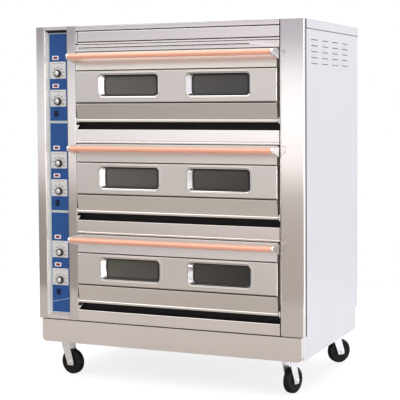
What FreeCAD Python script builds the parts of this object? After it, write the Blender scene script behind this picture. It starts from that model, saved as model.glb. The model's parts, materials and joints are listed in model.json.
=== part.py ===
import FreeCAD, Part
import os
import re
import Sketcher
from FreeCAD import Placement, Rotation, Vector

# A three-deck electric oven on casters. Millimetres, +Z up, the floor at Z = 0.
# The front faces -Y, and the origin is under the middle of the whole object's box.

# ---------------------------------------------------------------- driving sizes
SIZES = {
    # casing
    "body_wide": 1300,          # casing from side to side
    "body_deep": 820,           # front plane to rear panel
    "skin": 1.5,                # thickness of the casing sheets
    "past": 1,                  # how far a cutting tool runs past a face
    "seat": 1,                  # how far a piece sinks into the one that it is welded to
    "fit_gap": 0.5,             # side gap of an inner sheet
    "caster_tall": 162,         # floor to the underside of the base
    "plinth_tall": 107,
    "plinth_inset": 12,         # how far the plinth sits inside the casing's sides
    "rail_tall": 52,            # fascia between the plinth and the lowest deck
    "gap_tall": 34,             # open recess under a door
    "door_tall": 315,
    "door_top_gap": 4,
    "divider_tall": 62,         # fascia between two decks
    "header_tall": 118,
    "left_pillar_wide": 44,
    "bay_wide": 117,            # recessed control bay
    "post_wide": 43,
    "right_pillar_wide": 110,
    "pillar_return": 20,        # fold of the pillars along the casing's sides
    "jamb_deep": 38,            # fold of the post and the pillar beside the doors
    "panel_start": 34,          # front plane to the front edge of a side panel
    "seam_deep": 8,             # depth of the open seam between a pillar and a side panel
    "seam_lap": 8,              # pillar's flange behind the seam, past the panel's edge
    "bay_lip": 12,              # fold of the left pillar into the control bay
    "cover_flange": 38,
    # louvres of the side panels
    "louvre_long": 98,
    "louvre_tall": 10,
    "louvre_proud": 5,
    "louvre_pitch": 25.5,
    "louvre_first": 99,         # front plane to the first column
    "louvre_step": 152,         # from column to column
    "louvre_drop": 74,          # top of the oven to the top row
    # header
    "groove_deep": 4,
    "groove_slope": 3,
    "groove_floor": 2,
    "groove_low": 37,           # header's lower edge to the lower groove
    "groove_high": 14,          # header's upper edge to the upper groove
    "slot_up": 15,
    "slot_tall": 5,
    "slot_left": 26,
    "slot_right": 130,
    # base
    "beam_wide": 60,
    "tube_side": 40,
    "tube_wall": 3,
    # doors
    "door_side_gap": 8,
    "door_back": 36,            # front plane to the back of the door
    "door_proud": 14,           # middle band in front of the front plane
    "door_top_proud": 2,
    "lip_tall": 12,
    "crease_low": 89,
    "crease_drop": 85,          # door's top edge to the upper crease
    "window_side": 116.5,       # door's side edge to a window
    "window_between": 131,
    "window_up": 22,            # lower crease to a window
    "window_drop": 13,          # upper crease to a window
    "window_side_bevel": 20,
    "window_edge_bevel": 9,
    "window_deep": 26,
    "glass_thick": 4,
    "glass_lap": 7,
    "hinge_back": 10,           # front plane to the hinge axis
    "hinge_up": 8,              # door's bottom edge to the hinge axis
    "pin_radius": 5,
    "pin_clearance": 0.05,
    "bracket_thick": 4,
    "bracket_side": 26,
    "bracket_back": 4,          # how far a bracket's middle is behind its bore
    "spring_wall": 3,
    "spring_clearance": 0.4,
    "handle_drop": 19,          # door's top edge to the bar's axis
    "handle_out": 73,
    "handle_radius": 12,
    "arm_thick": 10,
    "arm_nose": 15,             # from the bar's axis to the arm's front edge
    "arm_blunt": 8,             # half of the arm's flat front edge
    "arm_up": 16,               # from the bar's axis to the arm's top at the door
    "arm_down": 30,
    "foot_wide": 22,
    "foot_thick": 3,
    "arm_gap": 0.3,             # between an arm and the door's slanting face
    "arm_overhang": 9,          # how far an arm stands out past the door's side edge
    "return_gap": 2,            # door's folded edges to the back of the door
    "liner_gap": 1,             # liner's edges to the door's top and bottom edges
    "end_wall_gap": 3,          # end walls to the door's face and edges
    "pin_root": 6,              # length of a hinge pin inside the door
    # ovens
    "chamber_side": 50,         # door's side edge to the chamber's side wall
    "chamber_behind": 128.5,    # chamber's back wall to the rear panel
    "chamber_low": 4,           # door's bottom edge to the underside of the chamber
    "chamber_top_drop": 19,     # door's top edge to the top of the chamber
    "mouth_deep": 40,           # front plane to the chamber's mouth
    "hearth_up": 40,
    "hearth_thick": 4,
    "hearth_side_gap": 2,
    "hearth_end_gap": 3,
    "frame_over": 3,            # door's top edge to the top of the chamber's mouth frame
    "ledge_wide": 12,
    "heater_radius": 5,
    "heater_pitch": 150,
    "heater_low": 22,
    "heater_drop": 47,          # door's top edge to the upper heaters
    "heater_hole_past": 10,     # a heater's hole past the insulation and the wall
    "heater_tail": 14,          # end of a tube past the insulation
    "heater_end": 6,            # end of a tube short of the far wall
    "stud_radius": 2,
    "stud_long": 20,
    "bulb_radius": 3,
    "bulb_long": 120,
    "bulb_drop": 69,            # door's top edge to the upper sensing bulb
    "bulb_up": 68,              # door's bottom edge to the lower sensing bulb
    "heater_clearance": 1,
    "wool": 40,                 # thickness of the insulation
    # controls
    "bay_deep": 25,
    "bay_bevel": 6,
    "post_bevel": 4,
    "bay_end": 15,              # closed face above and below the bay
    "bay_slope": 15,
    "strip_thick": 0.8,
    "strip_margin": 1.5,
    "plate_gap": 7,             # bay floor's left edge to a dial plate
    "plate_tall": 78,
    "plate_thick": 1.2,
    "plate_low_upper": 199,     # door's bottom edge to the upper dial plate
    "plate_low_lower": 70,
    "control_left": 4.5,        # line of the knobs to the left of the bay's middle
    "knob_rise": 24,            # plate's lower edge to the knob's axis
    "knob_radius": 18,
    "knob_tall": 13,
    "cap_radius": 9.5,
    "cap_tall": 3.5,
    "pointer_wide": 2,
    "pointer_tall": 0.5,
    "knob_gap": 0.6,
    "spindle_radius": 3,
    "spindle_deep": 16,
    "spindle_hole_gap": 2,
    "spindle_seat": 2,          # how far the spindle reaches into the knob
    "lamp_left": 16,
    "lamp_rise": 96,            # plate's lower edge to the lamp
    "lamp_wide": 34,
    "lamp_tall": 19,
    "lamp_proud": 3,
    "lamp_deep": 24,            # bay floor to the back of a lamp's body
    "lamp_rim": 5,              # how much a lamp's frame exceeds its body
    "hole_gap": 0.5,            # round a body that passes through the bay floor
    "switch_up": 38,
    "switch_left": 11,          # dial axis to the switches
    "switch_wide": 20,
    "switch_tall": 28,
    "switch_wall": 3,
    "switch_deep": 26,
    "switch_proud": 2,
    "switch_rim": 4,            # how much a switch's flange exceeds its body
    "switch_back": 6,           # wall behind a switch's well
    "pivot_deep": 5,
    "pivot_radius": 1.5,
    "pivot_seat": 5.5,          # how much shorter than the flange the pivot's bore is
    "pivot_end_gap": 0.2,
    "rocker_gap": 0.4,
    "rocker_end_gap": 1.3,
    "rocker_out": 9,            # pivot to the rocker's face
    "rocker_back": 4,
    "rocker_tilt": 8,
    "thermostat_side": 46,
    "thermostat_deep": 38,
    # electrical parts
    "mount_left": 30,           # casing's side to the mounting plate
    "mount_wide": 160,
    "mount_deep": 300,          # front plane to the mounting plate
    "mount_thick": 2,
    "mount_up": 60,
    "mount_drop": 200,
    "contactor_up": 120,
    "contactor_left": 40,       # mounting plate's edge to a contactor
    "contactor_wide": 60,
    "contactor_tall": 80,
    "contactor_deep": 60,
    "contactor_step": 8,        # set-back of the cap at its sides
    "contactor_shoulder": 16,   # set-back of the cap at its ends
    "contactor_cap": 18,
    "terminal_up": 80,
    "terminal_left": 20,
    "terminal_wide": 120,
    "terminal_tall": 40,
    "terminal_deep": 30,
    # casters
    "caster_across": 100,       # casing's side to the swivel axis
    "caster_front": 85,         # front plane to the front swivel axes
    "caster_rear": 75,          # rear panel to the rear swivel axes
    "plate_long": 104,
    "plate_short": 84,
    "caster_plate": 4,
    "kingpin_radius": 6,
    "fork_disc": 30,
    "fork_thick": 4,
    "fork_leg": 3,
    "fork_gap": 6,              # top plate to the fork's disc
    "race_margin": 4,
    "race_gap": 0.3,
    "kingpin_end": 4,
    "leg_heel": 22,             # swivel axis to a leg's trailing shoulder
    "leg_toe": 26,
    "leg_half": 12,             # half of a leg's width at the axle
    "leg_tip": 5,
    "leg_shoulder": 6,          # axle down to the start of the leg's rounded end
    "leg_end": 12,              # axle down to the leg's tip
    "trail": 30,
    "wheel_radius": 58,
    "wheel_wide": 32,
    "wheel_gap": 4,
    "hub_radius": 13,
    "axle_radius": 4,
    "axle_clearance": 0.06,
    "bolt_head": 5,
    "bolt_rim": 3,              # a bolt's head past its shank
    "dish_deep": 5,
    "dish_rim": 15,
    "hub_rim": 5,
    "plate_bolt_inset": 11,
    "plate_bolt_radius": 6,
    # rear
    "gland_reach": 14,
    "gland_bore": 14,
    "gland_wall": 4,
    "gland_flange": 12,
    "gland_flange_thick": 6,
    "gland_across": 150,
    "gland_up": 420,
    "gland_gap": 0.2,
    "vent_left": 150,
    "vent_step": 400,
    "vent_drop": 120,
    "vent_pitch": 22,
    "vent_long": 160,
    "vent_tall": 6,
    "screw_radius": 4,
    "screw_proud": 2,
    "screw_front": 60,          # front plane to the side panels' front screws
    "screw_rear": 120,          # rear panel to the side panels' rear screws
    "screw_low": 30,            # above the plinth
    "screw_high": 76,           # below the top, at the sides
    "screw_back_high": 40,      # below the top, at the back
    "screw_inset": 60,          # casing's side to the rear panel's first screw
}

doc = FreeCAD.newDocument("DeckOven")
sheet = doc.addObject("Spreadsheet::Sheet", "Sizes")
for row, (alias, size) in enumerate(SIZES.items(), 1):
    sheet.set(f"A{row}", str(size))
    sheet.setAlias(f"A{row}", alias)
doc.recompute()

nodes = []


# ---------------------------------------------------------------- helpers
def sized(text):
    """The expression with the sheet's name before each of its aliases."""
    def full(word):
        return "Sizes." + word.group() if word.group() in SIZES else word.group()
    return re.sub(r"[a-z_]+", full, text)


def bind(piece, name, text):
    piece.setExpression(name, sized(text))


def measure(text):
    """The number that an expression comes to."""
    return float(sheet.evalExpression(sized(text)))


def place(piece, x, y, z):
    for letter, text in zip("xyz", (x, y, z)):
        bind(piece, f"Placement.Base.{letter}", text)


def box(name, x, y, z):
    """A block between two bounds along each axis."""
    piece = doc.addObject("Part::Box", name)
    for side, (low, high) in zip(("Length", "Width", "Height"), (x, y, z)):
        bind(piece, side, f"({high}) - ({low})")
    place(piece, x[0], y[0], z[0])
    return piece


TURNS = {
    "x": Rotation(Vector(0, 1, 0), 90),
    "y": Rotation(Vector(1, 0, 0), -90),
    "z": Rotation(),
}


def rod(name, axis, radius, centre, span):
    """A cylinder along an axis; centre gives its place along the other two."""
    piece = doc.addObject("Part::Cylinder", name)
    piece.Placement = Placement(Vector(), TURNS[axis])
    bind(piece, "Radius", radius)
    bind(piece, "Height", f"({span[1]}) - ({span[0]})")
    where = dict(zip([letter for letter in "xyz" if letter != axis], centre))
    where[axis] = span[0]
    place(piece, where["x"], where["y"], where["z"])
    return piece


def around(centre, size):
    """Bounds of a span of a size about its centre."""
    return f"({centre} - ({size}) / 2)", f"({centre} + ({size}) / 2)"


def funnel(name, x, y, z, side, edge):
    """A four-sided tunnel's space along Y that narrows towards the back."""
    piece = doc.addObject("Part::Wedge", name)
    bind(piece, "Xmin", x[0])
    bind(piece, "Xmax", x[1])
    bind(piece, "Ymin", y[0])
    bind(piece, "Ymax", y[1])
    bind(piece, "Zmin", z[0])
    bind(piece, "Zmax", z[1])
    bind(piece, "X2min", f"{x[0]} + {side}")
    bind(piece, "X2max", f"{x[1]} - ({side})")
    bind(piece, "Z2min", f"{z[0]} + {edge}")
    bind(piece, "Z2max", f"{z[1]} - ({edge})")
    return piece


PLANES = {"x": "YZ_Plane", "y": "XZ_Plane", "z": "XY_Plane"}


def prism(name, axis, outline, span):
    """A padded sketch: the outline's points are bound to the sheet one by one."""
    body = doc.addObject("PartDesign::Body", name)
    sketch = body.newObject("Sketcher::SketchObject", name + "_outline")
    planes = [plane for plane in body.Origin.OriginFeatures if plane.Role == PLANES[axis]]
    sketch.AttachmentSupport = [(planes[0], "")]
    sketch.MapMode = "FlatFace"
    corners = [Vector(measure(u), measure(v), 0) for u, v in outline]
    count = len(corners)
    for index in range(count):
        line = Part.LineSegment(corners[index], corners[(index + 1) % count])
        sketch.addGeometry(line, False)
    for index in range(count):
        sketch.addConstraint(Sketcher.Constraint("Coincident", index, 2, (index + 1) % count, 1))
    for index, point in enumerate(outline):
        for kind, text in zip(("DistanceX", "DistanceY"), point):
            rule = Sketcher.Constraint(kind, -1, 1, index, 1, measure(text))
            number = sketch.addConstraint(rule)
            bind(sketch, f"Constraints[{number}]", text)
    pad = body.newObject("PartDesign::Pad", name + "_pad")
    pad.Profile = sketch
    pad.Reversed = axis == "y"
    bind(pad, "Length", f"({span[1]}) - ({span[0]})")
    bind(body, f"Placement.Base.{axis}", span[0])
    sketch.Visibility = False
    return body


def fold(name, axis, path, thickness, span):
    """A sheet folded along a path; thickness is its (u, v) offset at each point."""
    back = [(f"{u} + {du}", f"{v} + {dv}") for (u, v), (du, dv) in zip(path, thickness)]
    return prism(name, axis, path + back[::-1], span)


def cut(name, base, *tools):
    piece = doc.addObject("Part::Cut", name)
    piece.Base = base
    piece.Tool = tools[0] if len(tools) == 1 else group(name + "_tools", tools)
    return piece


def fuse(name, *pieces):
    piece = doc.addObject("Part::MultiFuse", name)
    piece.Shapes = list(pieces)
    return piece


def group(name, pieces):
    """Separate solids that share one node."""
    piece = doc.addObject("Part::Compound", name)
    piece.Links = list(pieces)
    return piece


def node(piece):
    nodes.append(piece)
    return piece


# ---------------------------------------------------------------- common places
REACH = "(handle_out + arm_nose)"
LEFT = "(0 - body_wide / 2)"
RIGHT = "(body_wide / 2)"
FRONT = f"({REACH} - ({REACH} + body_deep + gland_reach) / 2)"
BACK = f"({FRONT} + body_deep)"

PLINTH_TOP = "(caster_tall + plinth_tall)"
RAIL_TOP = f"({PLINTH_TOP} + rail_tall)"
PITCH = "(gap_tall + door_tall + door_top_gap + divider_tall)"
HEADER_LOW = f"({RAIL_TOP} + 3 * {PITCH} - divider_tall)"
TOP = f"({HEADER_LOW} + header_tall)"
UNDER_TOP = f"({TOP} - skin)"

BAY_LEFT = f"({LEFT} + left_pillar_wide)"
BAY_RIGHT = f"({BAY_LEFT} + bay_wide)"
POST_RIGHT = f"({BAY_RIGHT} + post_wide)"
PILLAR_LEFT = f"({RIGHT} - right_pillar_wide)"
MIDDLE = f"(({POST_RIGHT} + {PILLAR_LEFT}) / 2)"
DOOR_LEFT = f"({POST_RIGHT} + door_side_gap)"
DOOR_RIGHT = f"({PILLAR_LEFT} - door_side_gap)"
WINDOW_WIDE = f"(({DOOR_RIGHT} - {DOOR_LEFT} - 2 * window_side - window_between) / 2)"
CREASE_HIGH = "(door_tall - crease_drop)"

PANEL_LEFT = f"({LEFT} + skin)"
PANEL_RIGHT = f"({RIGHT} - skin)"

CASTER_ROWS = {"front": f"({FRONT} + caster_front)", "rear": f"({BACK} - caster_rear)"}

DECKS = ("lower", "middle", "upper")
HEATS = {"top_heat": "plate_low_upper", "bottom_heat": "plate_low_lower"}


def deep(text):
    """A place that far behind the front plane."""
    return f"({FRONT} + {text})"


def out(text):
    """A place that far in front of the front plane."""
    return f"({FRONT} - ({text}))"


def deck_low(deck):
    """The height of a door's bottom edge."""
    return f"({RAIL_TOP} + gap_tall + {DECKS.index(deck)} * {PITCH})"


def up(deck, text):
    """A height above a door's bottom edge."""
    return f"({deck_low(deck)} + {text})"


# ---------------------------------------------------------------- base and casing
def base_frame():
    """Welded tubes that carry the ovens, with the floor pan on top of them."""
    low = "caster_tall"
    high = "(caster_tall + tube_side)"
    inner = f"({LEFT} + plinth_inset + 2 * skin)"
    outer = f"({RIGHT} - plinth_inset - 2 * skin)"
    pieces = []
    beams = {}
    for end, centre in CASTER_ROWS.items():
        y = (f"({centre} - beam_wide / 2)", f"({centre} + beam_wide / 2)")
        beams[end] = y
        hollow_y = (f"{y[0]} + tube_wall", f"{y[1]} - tube_wall")
        pieces.append(cut(
            f"{end}_beam",
            box(f"{end}_beam_outside", (inner, outer), y, (low, high)),
            box(f"{end}_beam_inside", (inner, outer), hollow_y,
                (f"{low} + tube_wall", f"{high} - tube_wall")),
        ))
    between = (beams["front"][1], beams["rear"][0])
    for side, x in (
        ("left", (inner, f"{inner} + tube_side")),
        ("centre", ("0 - tube_side / 2", "tube_side / 2")),
        ("right", (f"{outer} - tube_side", outer)),
    ):
        hollow_x = (f"{x[0]} + tube_wall", f"{x[1]} - tube_wall")
        pieces.append(cut(
            f"{side}_tube",
            box(f"{side}_tube_outside", x, between, (low, high)),
            box(f"{side}_tube_inside", hollow_x, between,
                (f"{low} + tube_wall", f"{high} - tube_wall")),
        ))
    pan_y = (deep("2 * skin"), f"{BACK} - 2 * skin")
    pieces.append(box("floor_pan", (inner, outer), pan_y, (high, f"{high} + skin")))
    node(group("base_frame", pieces))


def plinth():
    """Four panels round the base, set in a little at the sides."""
    z = ("caster_tall", PLINTH_TOP)
    left = f"({LEFT} + plinth_inset)"
    right = f"({RIGHT} - plinth_inset)"
    sides = (deep("skin"), f"{BACK} - skin")
    node(group("plinth", [
        box("plinth_front", (left, right), (FRONT, deep("skin")), z),
        box("plinth_rear", (left, right), (f"{BACK} - skin", BACK), z),
        box("plinth_left", (left, f"{left} + skin"), sides, z),
        box("plinth_right", (f"{right} - skin", right), sides, z),
    ]))


def left_pillar():
    """Joins the left side panel behind an open seam, and folds into the control bay."""
    path = [
        (f"({LEFT} + seam_deep)", deep("(panel_start + seam_lap)")),
        (f"({LEFT} + seam_deep)", deep("pillar_return")),
        (LEFT, deep("pillar_return")),
        (LEFT, FRONT),
        (BAY_LEFT, FRONT),
        (BAY_LEFT, deep("bay_lip")),
    ]
    thickness = [
        ("skin", "0"),
        ("skin", "0 - skin"),
        ("skin", "0 - skin"),
        ("skin", "skin"),
        ("0 - skin", "skin"),
        ("0 - skin", "0"),
    ]
    node(fold("left_pillar", "z", path, thickness, (PLINTH_TOP, UNDER_TOP)))


def right_pillar():
    """The wide pillar beside the doors, with the same seam at the right side panel."""
    path = [
        (PILLAR_LEFT, deep("jamb_deep")),
        (PILLAR_LEFT, FRONT),
        (RIGHT, FRONT),
        (RIGHT, deep("pillar_return")),
        (f"({RIGHT} - seam_deep)", deep("pillar_return")),
        (f"({RIGHT} - seam_deep)", deep("(panel_start + seam_lap)")),
    ]
    thickness = [
        ("skin", "0"),
        ("skin", "skin"),
        ("0 - skin", "skin"),
        ("0 - skin", "0 - skin"),
        ("0 - skin", "0 - skin"),
        ("0 - skin", "0"),
    ]
    node(fold("right_pillar", "z", path, thickness, (PLINTH_TOP, UNDER_TOP)))


def groove(low):
    """The steps of a pressed groove that starts at a height, as (y, z)."""
    floor_low = f"({low} + groove_slope)"
    floor_high = f"({floor_low} + groove_floor)"
    return [
        (FRONT, low),
        (deep("groove_deep"), floor_low),
        (deep("groove_deep"), floor_high),
        (FRONT, f"({floor_high} + groove_slope)"),
    ]


def header_fascia():
    """The fascia over the top door, with its two pressed grooves and its vent slot."""
    x = (POST_RIGHT, PILLAR_LEFT)
    upper_groove = f"({UNDER_TOP} - groove_high - 2 * groove_slope - groove_floor)"
    corner = [(deep("jamb_deep"), HEADER_LOW), (FRONT, HEADER_LOW)]
    face = groove(f"({HEADER_LOW} + groove_low)") + groove(upper_groove) + [(FRONT, UNDER_TOP)]
    thickness = [("0", "skin"), ("skin", "skin")] + [("skin", "0")] * len(face)
    sheet_metal = fold("header_sheet", "x", corner + face, thickness, x)
    slot_z = (f"{HEADER_LOW} + slot_up", f"{HEADER_LOW} + slot_up + slot_tall")
    slot_x = (f"{POST_RIGHT} + slot_left", f"{PILLAR_LEFT} - slot_right")
    slot = box("header_slot", slot_x, (out("past"), deep("2 * skin")), slot_z)
    node(cut("header_fascia", sheet_metal, slot))


def deck_fascias():
    """The rail under the lowest deck and the dividers between decks."""
    x = (POST_RIGHT, PILLAR_LEFT)
    pieces = [box("bottom_rail", x, (FRONT, deep("skin")), (PLINTH_TOP, RAIL_TOP))]
    for deck in ("middle", "upper"):
        high = f"({deck_low(deck)} - gap_tall)"
        low = f"({high} - divider_tall)"
        path = [(deep("jamb_deep"), low), (FRONT, low), (FRONT, high)]
        thickness = [("0", "skin"), ("skin", "skin"), ("skin", "0")]
        pieces.append(fold(f"{deck}_divider", "x", path, thickness, x))
    node(group("deck_fascias", pieces))


def door_sills():
    """The dark sheets that line the recess under each door: its floor and its back."""
    x = (f"{POST_RIGHT} + fit_gap", f"{PILLAR_LEFT} - fit_gap")
    pieces = []
    for deck in DECKS:
        low = f"({deck_low(deck)} - gap_tall)"
        pieces.append(box(f"{deck}_sill_floor", x, (deep("skin"), deep("jamb_deep")),
                          (f"{low} - skin", low)))
        pieces.append(box(f"{deck}_sill_back", x, (deep("jamb_deep"), deep("(jamb_deep + skin)")),
                          (f"{low} - skin", up(deck, "chamber_low"))))
    node(group("door_sills", pieces))


LOUVRE_COLUMNS = range(4)
LOUVRE_ROWS = range(5)


def louvres(side, face, tip):
    """Rows of pressed louvres near the top of a side panel, open downwards."""
    pieces = []
    for column in LOUVRE_COLUMNS:
        y_low = deep(f"(louvre_first + {column} * louvre_step)")
        for row in LOUVRE_ROWS:
            z = f"({TOP} - louvre_drop - {row} * louvre_pitch)"
            outline = [(face, z), (tip, f"({z} - louvre_tall)"), (face, f"({z} - louvre_tall)")]
            name = f"{side}_louvre_{column}_{row}"
            pieces.append(prism(name, "y", outline, (y_low, f"({y_low} + louvre_long)")))
    return pieces


def side_panels():
    """Each panel ends at the front in a fold that meets its pillar's flange."""
    z = (PLINTH_TOP, UNDER_TOP)
    y = (deep("panel_start"), f"{BACK} - skin")
    fold_y = (y[0], f"{y[0]} + skin")
    left = box("left_panel_sheet", (PANEL_LEFT, f"{PANEL_LEFT} + skin"), y, z)
    right = box("right_panel_sheet", (f"{PANEL_RIGHT} - skin", PANEL_RIGHT), y, z)
    left_fold = box("left_panel_fold", (PANEL_LEFT, f"{LEFT} + seam_deep"), fold_y, z)
    right_fold = box("right_panel_fold", (f"{RIGHT} - seam_deep", PANEL_RIGHT), fold_y, z)
    left_louvres = louvres("left", PANEL_LEFT, f"({PANEL_LEFT} - louvre_proud)")
    right_louvres = louvres("right", PANEL_RIGHT, f"({PANEL_RIGHT} + louvre_proud)")
    node(group("side_panels", [
        fuse("left_side_panel", left, left_fold, *left_louvres),
        fuse("right_side_panel", right, right_fold, *right_louvres),
    ]))


def top_cover():
    y = (deep("panel_start"), BACK)
    z = (f"{TOP} - cover_flange", UNDER_TOP)
    node(fuse(
        "top_cover",
        box("cover_top", (LEFT, RIGHT), (FRONT, BACK), (UNDER_TOP, TOP)),
        box("cover_left", (LEFT, PANEL_LEFT), y, z),
        box("cover_right", (PANEL_RIGHT, RIGHT), y, z),
    ))


GLAND_X = f"({LEFT} + gland_across)"
VENT_COLUMNS = range(3)
VENT_ROWS = range(4)


def rear_panel():
    """The rear panel, with the cable inlet's hole and a block of vent slots."""
    x = (PANEL_LEFT, PANEL_RIGHT)
    panel = box("rear_sheet", x, (f"{BACK} - skin", BACK), (PLINTH_TOP, UNDER_TOP))
    through = (f"{BACK} - skin - past", f"{BACK} + past")
    hole = rod("gland_hole", "y", "gland_bore + gland_wall + gland_gap", (GLAND_X, "gland_up"),
               through)
    slots = []
    for column in VENT_COLUMNS:
        slot_left = f"({LEFT} + vent_left + {column} * vent_step)"
        for row in VENT_ROWS:
            z = f"({TOP} - vent_drop - {row} * vent_pitch)"
            slots.append(box(
                f"rear_slot_{column}_{row}",
                (slot_left, f"{slot_left} + vent_long"),
                through,
                (z, f"{z} + vent_tall"),
            ))
    node(cut("rear_panel", panel, hole, *slots))


def cable_inlet():
    """The gland that a supply cable would enter through."""
    y = (f"({BACK} - gland_flange)", f"({BACK} + gland_reach)")
    outside = rod("gland_tube", "y", "gland_bore + gland_wall", (GLAND_X, "gland_up"), y)
    flange = rod("gland_flange_disc", "y", "gland_bore + gland_flange", (GLAND_X, "gland_up"),
                 (BACK, f"{BACK} + gland_flange_thick"))
    bore = rod("gland_hollow", "y", "gland_bore", (GLAND_X, "gland_up"),
               (f"{y[0]} - past", f"{y[1]} + past"))
    node(cut("cable_inlet", fuse("gland_solid", outside, flange), bore))


# ---------------------------------------------------------------- ovens
CHAMBER_LEFT = f"({DOOR_LEFT} + chamber_side)"
CHAMBER_RIGHT = f"({DOOR_RIGHT} - chamber_side)"
MOUTH = deep("mouth_deep")
CHAMBER_FRONT = f"({MOUTH} + skin)"
CHAMBER_BACK = f"({BACK} - chamber_behind)"
CHAMBER_MIDDLE = f"(({CHAMBER_FRONT} + {CHAMBER_BACK}) / 2)"
HEATERS = range(4)
MIDDLE_HEATER = (len(HEATERS) - 1) / 2


def heater_rows(deck):
    """The places of a deck's heating tubes, as (name, depth, height)."""
    places = []
    for level, rise in (("low", "heater_low"), ("high", "(door_tall - heater_drop)")):
        for index in HEATERS:
            depth = f"({CHAMBER_MIDDLE} + ({index - MIDDLE_HEATER}) * heater_pitch)"
            height = up(deck, rise)
            places.append((f"{deck}_{level}_{index}", depth, height))
    return places


def oven_deck(deck):
    """One chamber with its mouth frame, ledges, hearth, heaters and insulation."""
    low = up(deck, "chamber_low")
    high = up(deck, "(door_tall - chamber_top_drop)")
    y = (CHAMBER_FRONT, CHAMBER_BACK)
    inner_z = (f"{low} + skin", f"{high} - skin")
    outer_x = (f"{CHAMBER_LEFT} - skin", f"{CHAMBER_RIGHT} + skin")

    holes = []
    tubes = []
    for name, depth, height in heater_rows(deck):
        holes.append(rod(
            f"{name}_hole", "x", "heater_radius + heater_clearance", (depth, height),
            (f"{CHAMBER_LEFT} - wool - heater_hole_past", f"{CHAMBER_LEFT} + heater_hole_past"),
        ))
        tube = rod(f"{name}_tube", "x", "heater_radius", (depth, height),
                   (f"{CHAMBER_LEFT} - wool - heater_tail", f"{CHAMBER_RIGHT} - heater_end"))
        stud_end = f"{CHAMBER_LEFT} - wool - heater_tail / 2"
        stud = rod(f"{name}_stud", "x", "stud_radius", (depth, height),
                   (f"{stud_end} - stud_long", stud_end))
        tubes.append(fuse(f"{name}_heater", tube, stud))
    tools = group(f"{deck}_heater_holes", holes)

    left_wall = box(f"{deck}_left_sheet", (outer_x[0], CHAMBER_LEFT), y, inner_z)
    frame_x = (f"{POST_RIGHT} + fit_gap", f"{PILLAR_LEFT} - fit_gap")
    frame_y = (MOUTH, CHAMBER_FRONT)
    frame_top = up(deck, "(door_tall + frame_over)")
    ledge_z = (up(deck, "(hearth_up - hearth_thick)"), up(deck, "hearth_up"))
    chamber = [
        box(f"{deck}_floor", outer_x, y, (low, f"{low} + skin")),
        box(f"{deck}_ceiling", outer_x, y, (f"{high} - skin", high)),
        cut(f"{deck}_left_wall", left_wall, tools),
        box(f"{deck}_right_wall", (CHAMBER_RIGHT, outer_x[1]), y, inner_z),
        box(f"{deck}_back_wall", outer_x, (CHAMBER_BACK, f"{CHAMBER_BACK} + skin"), (low, high)),
        box(f"{deck}_frame_left", (frame_x[0], CHAMBER_LEFT), frame_y, (low, frame_top)),
        box(f"{deck}_frame_right", (CHAMBER_RIGHT, frame_x[1]), frame_y, (low, frame_top)),
        box(f"{deck}_frame_top", (CHAMBER_LEFT, CHAMBER_RIGHT), frame_y,
            (f"{high} - skin", frame_top)),
        box(f"{deck}_ledge_left", (CHAMBER_LEFT, f"{CHAMBER_LEFT} + ledge_wide"), y, ledge_z),
        box(f"{deck}_ledge_right", (f"{CHAMBER_RIGHT} - ledge_wide", CHAMBER_RIGHT), y, ledge_z),
    ]
    hearth = box(
        f"{deck}_hearth",
        (f"{CHAMBER_LEFT} + hearth_side_gap", f"{CHAMBER_RIGHT} - hearth_side_gap"),
        (f"{CHAMBER_FRONT} + hearth_end_gap", f"{CHAMBER_BACK} - hearth_end_gap"),
        (up(deck, "hearth_up"), up(deck, "(hearth_up + hearth_thick)")),
    )

    wool_x = (f"{outer_x[0]} - wool", f"{outer_x[1]} + wool")
    left_slab = box(f"{deck}_left_slab", (wool_x[0], outer_x[0]), y, (low, high))
    wool = [
        box(f"{deck}_top_wool", wool_x, y, (high, f"{high} + wool")),
        box(f"{deck}_bottom_wool", wool_x, y, (f"{low} - wool", low)),
        cut(f"{deck}_left_wool", left_slab, tools),
        box(f"{deck}_right_wool", (outer_x[1], wool_x[1]), y, (low, high)),
        box(f"{deck}_back_wool", wool_x,
            (f"{CHAMBER_BACK} + skin", f"{CHAMBER_BACK} + skin + wool"),
            (f"{low} - wool", f"{high} + wool")),
    ]
    return chamber, hearth, tubes, wool


def ovens():
    chambers, hearths, heaters, wools = [], [], [], []
    for deck in DECKS:
        chamber, hearth, tubes, wool = oven_deck(deck)
        chambers += chamber
        hearths.append(hearth)
        heaters += tubes
        wools += wool
    node(group("oven_chambers", chambers))
    node(group("hearth_plates", hearths))
    node(group("heating_elements", heaters))
    node(group("insulation", wools))


# ---------------------------------------------------------------- doors
def hinge_place(deck):
    return deep("hinge_back"), up(deck, "hinge_up")


def hinge_brackets():
    """Plates beside the doors with the bores that the hinge pins turn in."""
    pieces = []
    for deck in DECKS:
        y, z = hinge_place(deck)
        for side, x, sleeve in (
            ("left", (POST_RIGHT, f"({POST_RIGHT} + bracket_thick)"),
             (f"({POST_RIGHT} + bracket_thick)", f"({DOOR_LEFT} - fit_gap)")),
            ("right", (f"({PILLAR_LEFT} - bracket_thick)", PILLAR_LEFT),
             (f"({DOOR_RIGHT} + fit_gap)", f"({PILLAR_LEFT} - bracket_thick)")),
        ):
            name = f"{deck}_{side}"
            plate = box(f"{name}_bracket_plate", x,
                        around(f"({y} + bracket_back)", "bracket_side"),
                        around(z, "bracket_side"))
            bore = rod(f"{name}_bracket_bore", "x", "pin_radius + pin_clearance", (y, z),
                       (f"{x[0]} - past", f"{x[1]} + past"))
            pieces.append(cut(f"{name}_bracket", plate, bore))
            coil = rod(f"{name}_spring_outside", "x", "pin_radius + spring_wall", (y, z), sleeve)
            hollow = rod(f"{name}_spring_inside", "x", "pin_radius + spring_clearance",
                         (y, z), (f"{sleeve[0]} - past", f"{sleeve[1]} + past"))
            pieces.append(cut(f"{name}_spring", coil, hollow))
    node(group("hinge_brackets", pieces))


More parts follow.
